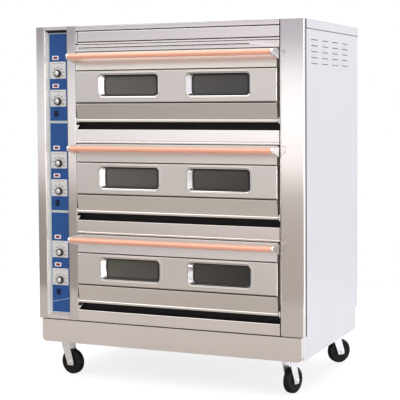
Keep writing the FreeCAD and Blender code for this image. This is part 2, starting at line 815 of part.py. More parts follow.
def slope(height):
    """How far the upper band of a door stands out at a height."""
    fall = "(door_proud - door_top_proud) / crease_drop"
    return f"(door_top_proud + {fall} * (door_tall - {height}))"


def door_skin(deck, openings):
    """The outer sheet: a proud middle band between two leaning bands."""
    bands = [
        ("return_gap - door_back", "0", "0", "skin"),
        ("0", "0", "0 - skin", "skin"),
        ("0", "lip_tall", "0 - skin", "0"),
        ("door_proud", "crease_low", "0 - skin", "0"),
        ("door_proud", CREASE_HIGH, "0 - skin", "0"),
        ("door_top_proud", "door_tall", "0 - skin", "0 - skin"),
        ("return_gap - door_back", "door_tall", "0", "0 - skin"),
    ]
    path = [(out(u), up(deck, f"({v})")) for u, v, _, _ in bands]
    thickness = [(f"(0 - ({du}))", f"({dv})") for _, _, du, dv in bands]
    bent = fold(f"{deck}_door_sheet", "x", path, thickness, (DOOR_LEFT, DOOR_RIGHT))
    node(cut(f"{deck}_door_skin", bent, *openings))


def door(deck):
    """One bottom-hinged door with its windows and handle."""
    window_z = (up(deck, "(crease_low + window_up)"), up(deck, f"({CREASE_HIGH} - window_drop)"))
    back_y = (f"({out('door_proud')} + window_deep)")
    openings, bezels, panes, holes = [], [], [], []
    for side, sign in (("left", "0 - "), ("right", "")):
        name = f"{deck}_{side}"
        centre = f"({MIDDLE} + ({sign}({WINDOW_WIDE} + window_between) / 2))"
        x = around(centre, WINDOW_WIDE)
        openings.append(box(f"{name}_opening", x, (out("door_proud + past"), deep("past")),
                            window_z))
        inner_x = (f"({x[0]} + skin)", f"({x[1]} - skin)")
        inner_z = (f"({window_z[0]} + skin)", f"({window_z[1]} - skin)")
        bezels.append(cut(
            f"{name}_bezel",
            funnel(f"{name}_bezel_outside", x, (out("door_proud"), back_y), window_z,
                   "window_side_bevel", "window_edge_bevel"),
            funnel(f"{name}_bezel_inside", inner_x, (out("door_proud"), back_y), inner_z,
                   "window_side_bevel", "window_edge_bevel"),
        ))
        sight_x = (f"({x[0]} + window_side_bevel)", f"({x[1]} - window_side_bevel)")
        sight_z = (f"({window_z[0]} + window_edge_bevel)", f"({window_z[1]} - window_edge_bevel)")
        lap_x = (f"{sight_x[0]} - glass_lap", f"{sight_x[1]} + glass_lap")
        lap_z = (f"{sight_z[0]} - glass_lap", f"{sight_z[1]} + glass_lap")
        liner_front = deep("(door_back - skin)")
        panes.append(box(f"{name}_outer_pane", lap_x, (back_y, f"{back_y} + glass_thick"), lap_z))
        panes.append(box(f"{name}_inner_pane", lap_x,
                         (f"{liner_front} - glass_thick", liner_front), lap_z))
        holes.append(box(f"{name}_liner_hole", sight_x,
                         (deep("(door_back - skin - past)"), deep("(door_back + past)")),
                         sight_z))
    door_skin(deck, openings)
    node(group(f"{deck}_window_bezels", bezels))
    node(group(f"{deck}_window_panes", panes))
    door_liner(deck, holes)
    door_handle(deck)


def door_liner(deck, holes):
    """The inner plate, its end walls and the hinge pins welded to them."""
    y_hinge, z_hinge = hinge_place(deck)
    wall_y = (deep("end_wall_gap"), deep("(door_back - skin)"))
    wall_z = (up(deck, "end_wall_gap"), up(deck, "(door_tall - end_wall_gap)"))
    plate = box(f"{deck}_liner_sheet", (f"{DOOR_LEFT} + fit_gap", f"{DOOR_RIGHT} - fit_gap"),
                (deep("(door_back - skin)"), deep("door_back")),
                (up(deck, "liner_gap"), up(deck, "(door_tall - liner_gap)")))
    parts = [cut(f"{deck}_liner_plate", plate, *holes)]
    for side, wall_x, pin_x in (
        ("left", (f"({DOOR_LEFT} + skin)", f"({DOOR_LEFT} + 2 * skin)"),
         (f"({POST_RIGHT} + seat)", f"({DOOR_LEFT} + pin_root)")),
        ("right", (f"({DOOR_RIGHT} - 2 * skin)", f"({DOOR_RIGHT} - skin)"),
         (f"({DOOR_RIGHT} - pin_root)", f"({PILLAR_LEFT} - seat)")),
    ):
        parts.append(box(f"{deck}_{side}_end_wall", wall_x, wall_y, wall_z))
        parts.append(rod(f"{deck}_{side}_hinge_pin", "x", "pin_radius", (y_hinge, z_hinge), pin_x))
    node(fuse(f"{deck}_door_liner", *parts))


def door_handle(deck):
    """A round bar held off the door by a tapering arm at each end."""
    rise = "(door_tall - handle_drop)"
    z = up(deck, rise)
    low = f"({rise} - arm_down)"
    high = f"({rise} + arm_up)"
    arm_left = f"({DOOR_LEFT} - arm_overhang)"
    arm_right = f"({DOOR_RIGHT} + arm_overhang)"
    bar_x = (f"({arm_left} + arm_thick)", f"({arm_right} - arm_thick)")
    node(rod(f"{deck}_handle_bar", "x", "handle_radius", (out("handle_out"), z), bar_x))
    nose = out("(handle_out + arm_nose)")
    arm_outline = [
        (out(f"{slope(low)} + arm_gap"), up(deck, low)),
        (out("handle_out"), f"({z} - arm_nose)"),
        (nose, f"({z} - arm_blunt)"),
        (nose, f"({z} + arm_blunt)"),
        (out("handle_out"), f"({z} + arm_nose)"),
        (out(f"{slope(high)} + arm_gap"), up(deck, high)),
    ]
    foot_outline = [
        (out(slope(low)), up(deck, low)),
        (out(f"{slope(low)} + foot_thick"), up(deck, low)),
        (out(f"{slope(high)} + foot_thick"), up(deck, high)),
        (out(slope(high)), up(deck, high)),
    ]
    arms = []
    for side, arm_x, foot_x in (
        ("left", (arm_left, bar_x[0]), (f"{bar_x[0]} - seat", f"({bar_x[0]} + foot_wide)")),
        ("right", (bar_x[1], arm_right), (f"({bar_x[1]} - foot_wide)", f"{bar_x[1]} + seat")),
    ):
        arm = prism(f"{deck}_{side}_arm_plate", "x", arm_outline, arm_x)
        foot = prism(f"{deck}_{side}_foot", "x", foot_outline, foot_x)
        arms.append(fuse(f"{deck}_{side}_arm", arm, foot))
    node(group(f"{deck}_handle_arms", arms))


# ---------------------------------------------------------------- controls
BAY_FLOOR = deep("bay_deep")
STRIP_FRONT = f"({BAY_FLOOR} - strip_thick)"
PLATE_FRONT = f"({STRIP_FRONT} - plate_thick)"
FLOOR_LEFT = f"({BAY_LEFT} + bay_bevel)"
FLOOR_RIGHT = f"({BAY_RIGHT} - post_bevel)"
CONTROL_X = f"(({FLOOR_LEFT} + {FLOOR_RIGHT}) / 2 - control_left)"
PLATE_WIDE = f"({FLOOR_RIGHT} - {FLOOR_LEFT} - 2 * (control_left + plate_gap))"
SWITCH_X = f"({CONTROL_X} - switch_left)"
LAMP_X = f"(({FLOOR_LEFT} + {FLOOR_RIGHT}) / 2 - lamp_left)"
LAMP_HOLE_WIDE = "(lamp_wide - lamp_rim + 2 * hole_gap)"
LAMP_HOLE_TALL = "(lamp_tall - lamp_rim + 2 * hole_gap)"
SWITCH_HOLE_WIDE = "(switch_wide - switch_rim + 2 * hole_gap)"
SWITCH_HOLE_TALL = "(switch_tall - switch_rim + 2 * hole_gap)"
BAY_LOW = f"({PLINTH_TOP} + bay_end)"
BAY_HIGH = f"({UNDER_TOP} - bay_end)"


def knob_height(deck, heat):
    return up(deck, f"({HEATS[heat]} + knob_rise)")


def lamp_height(deck, heat):
    return up(deck, f"({HEATS[heat]} + lamp_rise)")


def panel_cutouts():
    """The holes that the bay's floor and the strip share."""
    through = (f"{STRIP_FRONT} - past", f"{BAY_FLOOR} + skin + past")
    tools = []
    for deck in DECKS:
        for heat in HEATS:
            name = f"{deck}_{heat}"
            tools.append(rod(f"{name}_spindle_hole", "y", "spindle_radius + spindle_hole_gap",
                             (CONTROL_X, knob_height(deck, heat)), through))
            tools.append(box(f"{name}_lamp_hole", around(LAMP_X, LAMP_HOLE_WIDE), through,
                             around(lamp_height(deck, heat), LAMP_HOLE_TALL)))
        tools.append(box(f"{deck}_switch_hole", around(SWITCH_X, SWITCH_HOLE_WIDE), through,
                         around(up(deck, "switch_up"), SWITCH_HOLE_TALL)))
    return group("panel_cutouts", tools)


def control_bay(cutouts):
    """The folded sheet of the recessed bay and the post beside the doors."""
    path = [
        (BAY_LEFT, FRONT),
        (FLOOR_LEFT, BAY_FLOOR),
        (FLOOR_RIGHT, BAY_FLOOR),
        (BAY_RIGHT, FRONT),
        (POST_RIGHT, FRONT),
        (POST_RIGHT, deep("jamb_deep")),
    ]
    thickness = [
        ("0.2", "skin"),
        ("0", "skin"),
        ("0", "skin"),
        ("skin", "skin"),
        ("0 - skin", "skin"),
        ("0 - skin", "0"),
    ]
    bent = fold("bay_sheet", "z", path, thickness, (PLINTH_TOP, UNDER_TOP))
    x = (f"{FLOOR_LEFT} + 1", f"{FLOOR_RIGHT} - 1")
    pieces = [cut("bay_and_post", bent, cutouts)]
    for name, end, edge, slope_end, sign in (
        ("bay_head", UNDER_TOP, BAY_HIGH, f"({BAY_HIGH} - bay_slope)", ""),
        ("bay_foot", PLINTH_TOP, BAY_LOW, f"({BAY_LOW} + bay_slope)", "0 - "),
    ):
        path = [(FRONT, end), (FRONT, edge), (STRIP_FRONT, slope_end)]
        thickness = [("skin", "0"), ("skin", f"{sign}0.6"), ("0", f"{sign}2")]
        pieces.append(fold(name, "x", path, thickness, x))
    node(group("control_bay", pieces))


def control_strip(cutouts):
    x = (f"{FLOOR_LEFT} + strip_margin", f"{FLOOR_RIGHT} - strip_margin")
    z = (f"{BAY_LOW} + bay_slope - 3", f"{BAY_HIGH} - bay_slope + 3")
    backing = box("strip_sheet", x, (STRIP_FRONT, BAY_FLOOR), z)
    node(cut("control_strip", backing, cutouts))


def dials():
    """Dial plates, thermostats behind them and their sensing bulbs."""
    plates, bodies = [], []
    for deck in DECKS:
        for heat, low in HEATS.items():
            name = f"{deck}_{heat}"
            z = knob_height(deck, heat)
            plate = box(f"{name}_plate_sheet", around(CONTROL_X, PLATE_WIDE),
                        (PLATE_FRONT, STRIP_FRONT),
                        (up(deck, low), up(deck, f"({low} + plate_tall)")))
            hole = rod(f"{name}_plate_hole", "y", "spindle_radius + spindle_hole_gap",
                       (CONTROL_X, z), (f"{PLATE_FRONT} - past", f"{STRIP_FRONT} + past"))
            plates.append(cut(f"{name}_dial_plate", plate, hole))
            front = f"({BAY_FLOOR} + skin)"
            block = box(f"{name}_thermostat_block", around(CONTROL_X, "thermostat_side"),
                        (front, f"{front} + thermostat_deep"), around(z, "thermostat_side"))
            bore = rod(f"{name}_thermostat_bore", "y", "spindle_radius + pin_clearance",
                       (CONTROL_X, z), (f"{front} - past", f"{front} + spindle_deep + past"))
            bodies.append(cut(f"{name}_thermostat", block, bore))
            bulb_z = up(deck, "(door_tall - bulb_drop)" if heat == "top_heat" else "bulb_up")
            bodies.append(rod(f"{name}_bulb", "y", "bulb_radius",
                              (f"({CHAMBER_LEFT} + 2 * bulb_radius)", bulb_z),
                              around(CHAMBER_MIDDLE, "bulb_long")))
    node(group("dial_plates", plates))
    node(group("thermostats", bodies))


def knob(deck, heat):
    """A round knob with a raised cap and a pointer, on the thermostat's spindle."""
    name = f"{deck}_{heat}_knob"
    z = knob_height(deck, heat)
    back = f"({PLATE_FRONT} - knob_gap)"
    face = f"({back} - knob_tall)"
    disc = rod(f"{name}_disc", "y", "knob_radius", (CONTROL_X, z), (face, back))
    cap = rod(f"{name}_cap", "y", "cap_radius", (CONTROL_X, z), (f"{face} - cap_tall", face))
    pointer = box(f"{name}_pointer", around(CONTROL_X, "pointer_wide"),
                  (f"{face} - pointer_tall", face), (z, f"{z} + knob_radius - pointer_wide"))
    spindle = rod(f"{name}_spindle", "y", "spindle_radius", (CONTROL_X, z),
                  (f"{back} - spindle_seat", f"({BAY_FLOOR} + skin + spindle_deep)"))
    node(fuse(name, disc, cap, pointer, spindle))


def lamps():
    pieces = []
    for deck in DECKS:
        for heat in HEATS:
            name = f"{deck}_{heat}_lamp"
            z = lamp_height(deck, heat)
            lens = box(f"{name}_lens", around(LAMP_X, "lamp_wide"),
                       (f"{STRIP_FRONT} - lamp_proud", STRIP_FRONT), around(z, "lamp_tall"))
            body = box(f"{name}_body", around(LAMP_X, "lamp_wide - lamp_rim"),
                       (STRIP_FRONT, f"{BAY_FLOOR} + lamp_deep"),
                       around(z, "lamp_tall - lamp_rim"))
            pieces.append(fuse(name, lens, body))
    node(group("indicator_lamps", pieces))


SWITCH_FRONT = f"({STRIP_FRONT} - switch_proud)"
PIVOT_Y = f"({STRIP_FRONT} + pivot_deep)"


def switches():
    housings = []
    for deck in DECKS:
        z = up(deck, "switch_up")
        flange = box(f"{deck}_switch_flange", around(SWITCH_X, "switch_wide"),
                     (SWITCH_FRONT, STRIP_FRONT), around(z, "switch_tall"))
        body = box(f"{deck}_switch_body", around(SWITCH_X, "switch_wide - switch_rim"),
                   (STRIP_FRONT, f"{STRIP_FRONT} + switch_deep"),
                   around(z, "switch_tall - switch_rim"))
        well = box(f"{deck}_switch_well", around(SWITCH_X, "switch_wide - 2 * switch_wall"),
                   (f"{SWITCH_FRONT} - past", f"{STRIP_FRONT} + switch_deep - switch_back"),
                   around(z, "switch_tall - 2 * switch_wall"))
        bore = rod(f"{deck}_switch_bore", "x", "pivot_radius + pin_clearance", (PIVOT_Y, z),
                   around(SWITCH_X, "switch_wide - pivot_seat"))
        case = fuse(f"{deck}_switch_case", flange, body)
        housings.append(cut(f"{deck}_switch_housing", case, well, bore))
        rocker(deck, z)
    node(group("switch_housings", housings))


def rocker(deck, z):
    """A rocker that rests tipped about its pivot."""
    name = f"{deck}_rocker"
    half_tall = "(switch_tall / 2 - switch_wall - rocker_end_gap)"
    paddle = box(f"{name}_paddle", around("0", "switch_wide - 2 * (switch_wall + rocker_gap)"),
                 ("0 - rocker_out", "rocker_back"), (f"0 - {half_tall}", half_tall))
    pin = rod(f"{name}_pin", "x", "pivot_radius", ("0", "0"),
              around("0", "switch_wide - pivot_seat - 2 * pivot_end_gap"))
    whole = fuse(name, paddle, pin)
    whole.Placement = Placement(Vector(), Rotation(Vector(1, 0, 0), 1))
    bind(whole, "Placement.Rotation.Angle", "0 - rocker_tilt")
    place(whole, SWITCH_X, PIVOT_Y, z)
    node(whole)


def electrical_parts():
    """Contactors and a terminal block on a plate behind the control bay."""
    plate_left = f"({LEFT} + mount_left)"
    plate_front = deep("mount_deep")
    plate_x = (plate_left, f"{plate_left} + mount_wide")
    plate_y = (plate_front, f"{plate_front} + mount_thick")
    plate_z = (f"{PLINTH_TOP} + mount_up", f"{TOP} - mount_drop")
    pieces = [box("mounting_plate", plate_x, plate_y, plate_z)]
    base_left = f"({plate_left} + contactor_left)"
    base_right = f"({base_left} + contactor_wide)"
    base_front = f"({plate_front} - contactor_deep)"
    for deck in DECKS:
        z = up(deck, "contactor_up")
        high = f"({z} + contactor_tall)"
        base = box(f"{deck}_contactor_base", (base_left, base_right), (base_front, plate_front),
                   (z, high))
        cap = box(f"{deck}_contactor_cap",
                  (f"{base_left} + contactor_step", f"{base_right} - contactor_step"),
                  (f"{base_front} - contactor_cap", f"{base_front} + seat"),
                  (f"{z} + contactor_shoulder", f"{high} - contactor_shoulder"))
        pieces.append(fuse(f"{deck}_contactor", base, cap))
    block_left = f"({plate_left} + terminal_left)"
    z = f"({PLINTH_TOP} + terminal_up)"
    pieces.append(box("terminal_block", (block_left, f"{block_left} + terminal_wide"),
                      (f"{plate_front} - terminal_deep", plate_front),
                      (z, f"{z} + terminal_tall")))
    node(group("electrical_parts", pieces))


# ---------------------------------------------------------------- casters
CASTERS = {
    # name: (side, row, the way the wheel trails, in degrees from +X towards +Y)
    "front_left": ("left", "front", -10),
    "front_right": ("right", "front", 76),
    "rear_left": ("left", "rear", 150),
    "rear_right": ("right", "rear", 50),
}
PLATE_LOW = "(caster_tall - caster_plate)"
FORK_HIGH = f"({PLATE_LOW} - fork_gap)"
FORK_LOW = f"({FORK_HIGH} - fork_thick)"
LEG_INNER = "(wheel_wide / 2 + wheel_gap)"


def swivel_place(name):
    side, row, _ = CASTERS[name]
    x = f"({LEFT} + caster_across)" if side == "left" else f"({RIGHT} - caster_across)"
    return x, CASTER_ROWS[row]


def caster_plates():
    """The fixed top plates with their kingpins."""
    pieces = []
    for name in CASTERS:
        x, y = swivel_place(name)
        plate = box(f"{name}_top_plate", around(x, "plate_long"), around(y, "plate_short"),
                    (PLATE_LOW, "caster_tall"))
        race = rod(f"{name}_race", "z", "fork_disc - race_margin", (x, y),
                   (f"{FORK_HIGH} + race_gap", PLATE_LOW))
        pin = rod(f"{name}_kingpin", "z", "kingpin_radius", (x, y),
                  (f"{FORK_LOW} - kingpin_end", f"{PLATE_LOW} + seat"))
        pieces.append(fuse(f"{name}_caster_plate", plate, race, pin))
    node(group("caster_plates", pieces))


def turned(piece, name):
    """Puts a caster's piece at its swivel axis, turned the way it trails."""
    piece.Placement = Placement(Vector(), Rotation(Vector(0, 0, 1), CASTERS[name][2]))
    x, y = swivel_place(name)
    bind(piece, "Placement.Base.x", x)
    bind(piece, "Placement.Base.y", y)
    return piece


def caster(name):
    """A fork with its axle bolt, and the wheel between the fork's legs."""
    axle = ("trail", "wheel_radius")
    disc = rod(f"{name}_fork_disc", "z", "fork_disc", ("0", "0"), (FORK_LOW, FORK_HIGH))
    leg_outline = [
        ("0 - leg_heel", FORK_LOW),
        ("trail - leg_half", "wheel_radius - leg_shoulder"),
        ("trail - leg_tip", "wheel_radius - leg_end"),
        ("trail + leg_tip", "wheel_radius - leg_end"),
        ("trail + leg_half", "wheel_radius - leg_shoulder"),
        ("leg_toe", FORK_LOW),
        ("leg_toe", FORK_HIGH),
        ("0 - leg_heel", FORK_HIGH),
    ]
    legs = [
        prism(f"{name}_near_leg", "y", leg_outline, (f"(0 - {LEG_INNER} - fork_leg)",
                                                     f"(0 - {LEG_INNER})")),
        prism(f"{name}_far_leg", "y", leg_outline, (LEG_INNER, f"({LEG_INNER} + fork_leg)")),
    ]
    kingpin_hole = rod(f"{name}_kingpin_hole", "z", "kingpin_radius + pin_clearance", ("0", "0"),
                       (f"{FORK_LOW} - past", f"{FORK_HIGH} + past"))
    half = f"({LEG_INNER} + fork_leg)"
    axle_hole = rod(f"{name}_axle_hole", "y", "axle_radius + pin_clearance", axle,
                    around("0", f"2 * ({half} + past)"))
    fork = cut(f"{name}_fork_solid", fuse(f"{name}_fork_blank", disc, *legs),
               kingpin_hole, axle_hole)
    bolt = fuse(
        f"{name}_axle_bolt",
        rod(f"{name}_axle_shank", "y", "axle_radius", axle,
            (f"0 - {half} - bolt_head", f"{half} + bolt_head")),
        rod(f"{name}_axle_head", "y", "axle_radius + bolt_rim", axle,
            (f"0 - {half} - bolt_head", f"0 - {half}")),
        rod(f"{name}_axle_nut", "y", "axle_radius + bolt_rim", axle,
            (half, f"{half} + bolt_head")),
    )
    node(turned(group(f"caster_{name}_fork", [fork, bolt]), name))

    tread = rod(f"{name}_tread", "y", "wheel_radius", axle, around("0", "wheel_wide"))
    hub = rod(f"{name}_hub", "y", "hub_radius", axle, around("0", "wheel_wide + wheel_gap"))
    bore = rod(f"{name}_wheel_bore", "y", "axle_radius + axle_clearance", axle,
               around("0", "wheel_wide + wheel_gap + 2 * past"))
    dishes = []
    for side, span in (
        ("near", ("0 - wheel_wide / 2 - past", "0 - wheel_wide / 2 + dish_deep")),
        ("far", ("wheel_wide / 2 - dish_deep", "wheel_wide / 2 + past")),
    ):
        dishes.append(cut(
            f"{name}_{side}_dish",
            rod(f"{name}_{side}_dish_outside", "y", "wheel_radius - dish_rim", axle, span),
            rod(f"{name}_{side}_dish_inside", "y", "hub_radius + hub_rim", axle, span),
        ))
    rim = cut(f"{name}_rim", tread, *dishes)
    wheel = cut(f"{name}_wheel_solid", fuse(f"{name}_wheel_blank", rim, hub), bore)
    node(turned(group(f"caster_{name}_wheel", [wheel]), name))


# ---------------------------------------------------------------- fasteners
REAR_SCREWS = range(4)


def screws():
    """Panel screws and the bolts of the caster plates."""
    pieces = []
    for side, span in (("left", (f"{PANEL_LEFT} - screw_proud", PANEL_LEFT)),
                       ("right", (PANEL_RIGHT, f"{PANEL_RIGHT} + screw_proud"))):
        for end, depth in (("front", "screw_front"), ("rear", "(body_deep - screw_rear)")):
            for level, height in (("low", f"({PLINTH_TOP} + screw_low)"),
                                  ("high", f"({TOP} - screw_high)")):
                name = f"{side}_screw_{level}_{end}"
                pieces.append(rod(name, "x", "screw_radius", (deep(depth), height), span))
    for level, height in (("low", f"({PLINTH_TOP} + screw_low)"),
                          ("high", f"({TOP} - screw_back_high)")):
        for index in REAR_SCREWS:
            share = f"{index} / {len(REAR_SCREWS) - 1}"
            x = f"({LEFT} + screw_inset + (body_wide - 2 * screw_inset) * {share})"
            pieces.append(rod(f"rear_screw_{level}_{index}", "y", "screw_radius", (x, height),
                              (BACK, f"{BACK} + screw_proud")))
    for name in CASTERS:
        x, y = swivel_place(name)
        for index, (dx, dy) in enumerate(((1, 1), (1, -1), (-1, 1), (-1, -1))):
            where = (f"({x} + {dx} * (plate_long / 2 - plate_bolt_inset))",
                     f"({y} + {dy} * (plate_short / 2 - plate_bolt_inset))")
            pieces.append(rod(f"{name}_bolt_{index}", "z", "plate_bolt_radius", where,
                              (f"{PLATE_LOW} - bolt_head", PLATE_LOW)))
    node(group("screws", pieces))


# ---------------------------------------------------------------- the assembly
base_frame()
plinth()
left_pillar()
right_pillar()
header_fascia()
deck_fascias()
door_sills()
side_panels()
top_cover()
rear_panel()
cable_inlet()
ovens()
hinge_brackets()
for deck in DECKS:
    door(deck)
cutouts = panel_cutouts()
control_bay(cutouts)
control_strip(cutouts)
dials()
for deck in DECKS:
    for heat in HEATS:
        knob(deck, heat)
lamps()
switches()
electrical_parts()
caster_plates()
for name in CASTERS:
    caster(name)
screws()

doc.recompute()

failed = [piece.Name for piece in doc.Objects if {"Invalid", "Error"} & set(piece.State)]
if failed:
    raise RuntimeError("these objects did not build: " + ", ".join(failed))
for piece in nodes:
    if piece.Shape.isNull() or not piece.Shape.isValid() or not piece.Shape.Solids:
        raise RuntimeError("this sub-part has no sound shape: " + piece.Label)

os.makedirs("parts", exist_ok=True)
for piece in nodes:
    piece.Shape.exportStep(f"parts/{piece.Label}.step")
print(len(nodes), "sub-parts written")
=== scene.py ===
import json
import math

import bmesh
import bpy
from mathutils import Matrix, Vector
from mathutils.geometry import tessellate_polygon


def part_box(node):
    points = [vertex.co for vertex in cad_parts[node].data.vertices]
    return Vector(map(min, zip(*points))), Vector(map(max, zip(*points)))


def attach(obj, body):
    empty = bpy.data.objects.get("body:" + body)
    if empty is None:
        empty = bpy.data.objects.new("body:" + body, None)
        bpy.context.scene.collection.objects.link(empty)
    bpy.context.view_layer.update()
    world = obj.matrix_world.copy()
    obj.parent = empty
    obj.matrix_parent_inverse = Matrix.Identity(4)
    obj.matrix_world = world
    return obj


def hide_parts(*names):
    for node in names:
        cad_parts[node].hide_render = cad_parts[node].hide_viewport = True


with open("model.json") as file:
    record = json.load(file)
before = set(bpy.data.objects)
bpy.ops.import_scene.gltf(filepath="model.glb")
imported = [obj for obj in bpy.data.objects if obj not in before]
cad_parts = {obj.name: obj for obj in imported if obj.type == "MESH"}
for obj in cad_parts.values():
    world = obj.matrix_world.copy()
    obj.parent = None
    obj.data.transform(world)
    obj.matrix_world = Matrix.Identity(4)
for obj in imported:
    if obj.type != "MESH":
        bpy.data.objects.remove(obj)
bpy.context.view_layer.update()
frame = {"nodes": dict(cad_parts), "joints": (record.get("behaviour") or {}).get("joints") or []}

# ---------------------------------------------------------------- places from the CAD frame
JOINTS = {joint["child"]: joint for joint in frame["joints"]}
DECKS = ("lower", "middle", "upper")
HEATS = ("top_heat", "bottom_heat")
CASTERS = ("front_left", "front_right", "rear_left", "rear_right")


def bounds(node):
    low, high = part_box(node)
    return tuple(zip(low, high))


(LEFT, BAY_LEFT), (FRONT, PILLAR_BACK), (PLINTH_TOP, UNDER_TOP) = bounds("left_pillar")
(PILLAR_LEFT, RIGHT), _, _ = bounds("right_pillar")
(HEADER_LEFT, HEADER_RIGHT), (_, JAMB_BACK), (HEADER_LOW, _) = bounds("header_fascia")
_, (_, BACK), (_, TOP) = bounds("top_cover")
(PLINTH_LEFT, PLINTH_RIGHT), (PLINTH_FRONT, PLINTH_BACK), (PLINTH_LOW, _) = bounds("plinth")
(STRIP_LEFT, STRIP_RIGHT), (STRIP_FRONT, BAY_FLOOR), (STRIP_LOW, STRIP_HIGH) = bounds("control_strip")
POST_RIGHT = HEADER_LEFT
SKIN = 0.0015
SEAM_DEEP, PILLAR_RETURN = 0.008, 0.020
POST_WIDE = 0.043
BAY_RIGHT = POST_RIGHT - POST_WIDE

# ---------------------------------------------------------------- shapes as (points, faces)
FACINGS = {
    # facing: (the face's two axes, the axis into the solid, its direction)
    "front": ("xz", "y", 1),
    "back": ("xz", "y", -1),
    "right": ("yz", "x", -1),
    "left": ("yz", "x", 1),
    "top": ("xy", "z", -1),
    "under": ("xy", "z", 1),
}
FINE = 6            # segments in a quarter turn of a small bend


def point_on(facing, u, v, face, depth):
    plane, axis, sign = FACINGS[facing]
    place = {plane[0]: u, plane[1]: v, axis: face + sign * depth}
    return Vector((place["x"], place["y"], place["z"]))


def area(loop):
    total = 0
    for (u, v), (u2, v2) in zip(loop, loop[1:] + loop[:1]):
        total += u * v2 - u2 * v
    return total / 2


def shifted(path, distance, closed=True):
    """The path moved to its left by a distance, with mitred corners."""
    count = len(path)
    moved = []
    for index, (u, v) in enumerate(path):
        before = path[index - 1] if closed or index else None
        after = path[(index + 1) % count] if closed or index < count - 1 else None
        normals = []
        for start, end in ((before, (u, v)), ((u, v), after)):
            if start is not None and end is not None:
                run = Vector((end[0] - start[0], end[1] - start[1])).normalized()
                normals.append(Vector((-run.y, run.x)))
        mitre = normals[0] + normals[-1]
        mitre /= 1 + normals[0].dot(normals[-1])
        moved.append((u + mitre.x * distance, v + mitre.y * distance))
    return moved


def rounded(u, v, radius, steps=FINE):
    """A rectangle with rounded corners; radius is one number, or four from the lower left round."""
    radii = [radius] * 4 if isinstance(radius, (int, float)) else radius
    corners = ((u[0], v[0], 1, 1), (u[1], v[0], -1, 1), (u[1], v[1], -1, -1), (u[0], v[1], 1, -1))
    loop = []
    for index, (cu, cv, du, dv) in enumerate(corners):
        r = radii[index]
        if r == 0:
            loop.append((cu, cv))
            continue
        for step in range(steps + 1):
            turn = math.pi * (1 + index / 2 + step / steps / 2)
            loop.append((cu + du * r + r * math.cos(turn), cv + dv * r + r * math.sin(turn)))
    return loop


def circle(u, v, radius, count=24):
    turns = [2 * math.pi * index / count for index in range(count)]
    return [(u + radius * math.cos(turn), v + radius * math.sin(turn)) for turn in turns]


def bends(path, radius, steps=FINE):
    """An open path with its corners rounded."""
    done = [path[0]]
    for before, corner, after in zip(path, path[1:], path[2:]):
        corner_at = Vector(corner)
        back = Vector(before) - corner_at
        ahead = Vector(after) - corner_at
        half = back.angle(ahead) / 2
        reach = min(radius / math.tan(half), back.length * 0.49, ahead.length * 0.49)
        start = corner_at + back.normalized() * reach
        end = corner_at + ahead.normalized() * reach
        for step in range(steps + 1):
            t = step / steps
            done.append(tuple(start * (1 - t) ** 2 + corner_at * 2 * t * (1 - t) + end * t * t))
    return done + [path[-1]]


def soft_edge(radius, depth, steps=4):
    """An edge profile, as (inset, depth), that rounds over at the front."""
    turns = [math.pi / 2 * step / steps for step in range(steps + 1)]
    rolled = [(radius * (1 - math.sin(turn)), radius * (1 - math.cos(turn))) for turn in turns]
    return rolled + [(0, depth)]


def slab(facing, face, loops, edges):
    """A solid between a front and a back face. The first loop is its outline and the others are
    holes; each loop has an edge profile of (inset, depth) steps from the front face to the back."""
    points, faces = [], []
    if isinstance(edges[0][0], (int, float)):
        edges = [edges] * len(loops)
    rings = []
    for index, (loop, edge) in enumerate(zip(loops, edges)):
        turned = loop if (area(loop) > 0) == (index == 0) else loop[::-1]
        levels = []
        for inset, depth in edge:
            start = len(points)
            flat = shifted(turned, inset)
            points += [point_on(facing, u, v, face, depth) for u, v in flat]
            levels.append((start, flat))
        for (low, _), (high, _) in zip(levels, levels[1:]):
            count = len(turned)
            for k in range(count):
                n = (k + 1) % count
                faces.append((low + k, low + n, high + n, high + k))
        rings.append(levels)
    for end in (0, -1):
        flats = [[Vector((u, v, 0)) for u, v in levels[end][1]] for levels in rings]
        numbers = [levels[end][0] + k for levels in rings for k in range(len(levels[end][1]))]
        for triangle in tessellate_polygon(flats):
            faces.append(tuple(numbers[k] for k in triangle))
    return points, faces


def bent(axis, path, radius, span, thickness=SKIN, side=1):
    """A folded sheet that runs along an axis; its path lies in the plane across that axis."""
    line = bends(path, radius) if radius else path
    outline = line + shifted(line, side * thickness, closed=False)[::-1]
    facing = {"x": "left", "y": "front", "z": "under"}[axis]
    return slab(facing, span[0], [outline], [(0, 0), (0, span[1] - span[0])])


def block(x, y, z, edge=0.0008):
    """A block with a small rounding on its front edges."""
    return slab("front", y[0], [rounded(x, z, 0)], soft_edge(edge, y[1] - y[0], 2))


def lathe(profile, centre, axis="y", count=40):
    """A turned solid: the profile is (radius, distance along the axis) from one end to the other."""
    turn = {
        "x": Matrix.Rotation(math.pi / 2, 3, "Y"),
        "y": Matrix.Rotation(-math.pi / 2, 3, "X"),
        "z": Matrix.Identity(3),
    }[axis]
    points, faces, rings = [], [], []
    for radius, along in profile:
        start = len(points)
        if radius == 0:
            points.append(turn @ Vector((0, 0, along)) + Vector(centre))
            rings.append([start] * count)
            continue
        for k in range(count):
            angle = 2 * math.pi * k / count
            across = Vector((radius * math.cos(angle), radius * math.sin(angle), along))
            points.append(turn @ across + Vector(centre))
        rings.append(list(range(start, start + count)))
    for low, high in zip(rings, rings[1:]):
        for k in range(count):
            n = (k + 1) % count
            corners = dict.fromkeys((low[k], low[n], high[n], high[k]))
            if len(corners) > 2:
                faces.append(tuple(corners))
    for ring in (rings[0], rings[-1]):
        if ring[0] != ring[1]:
            faces.append(tuple(ring))
    return points, faces


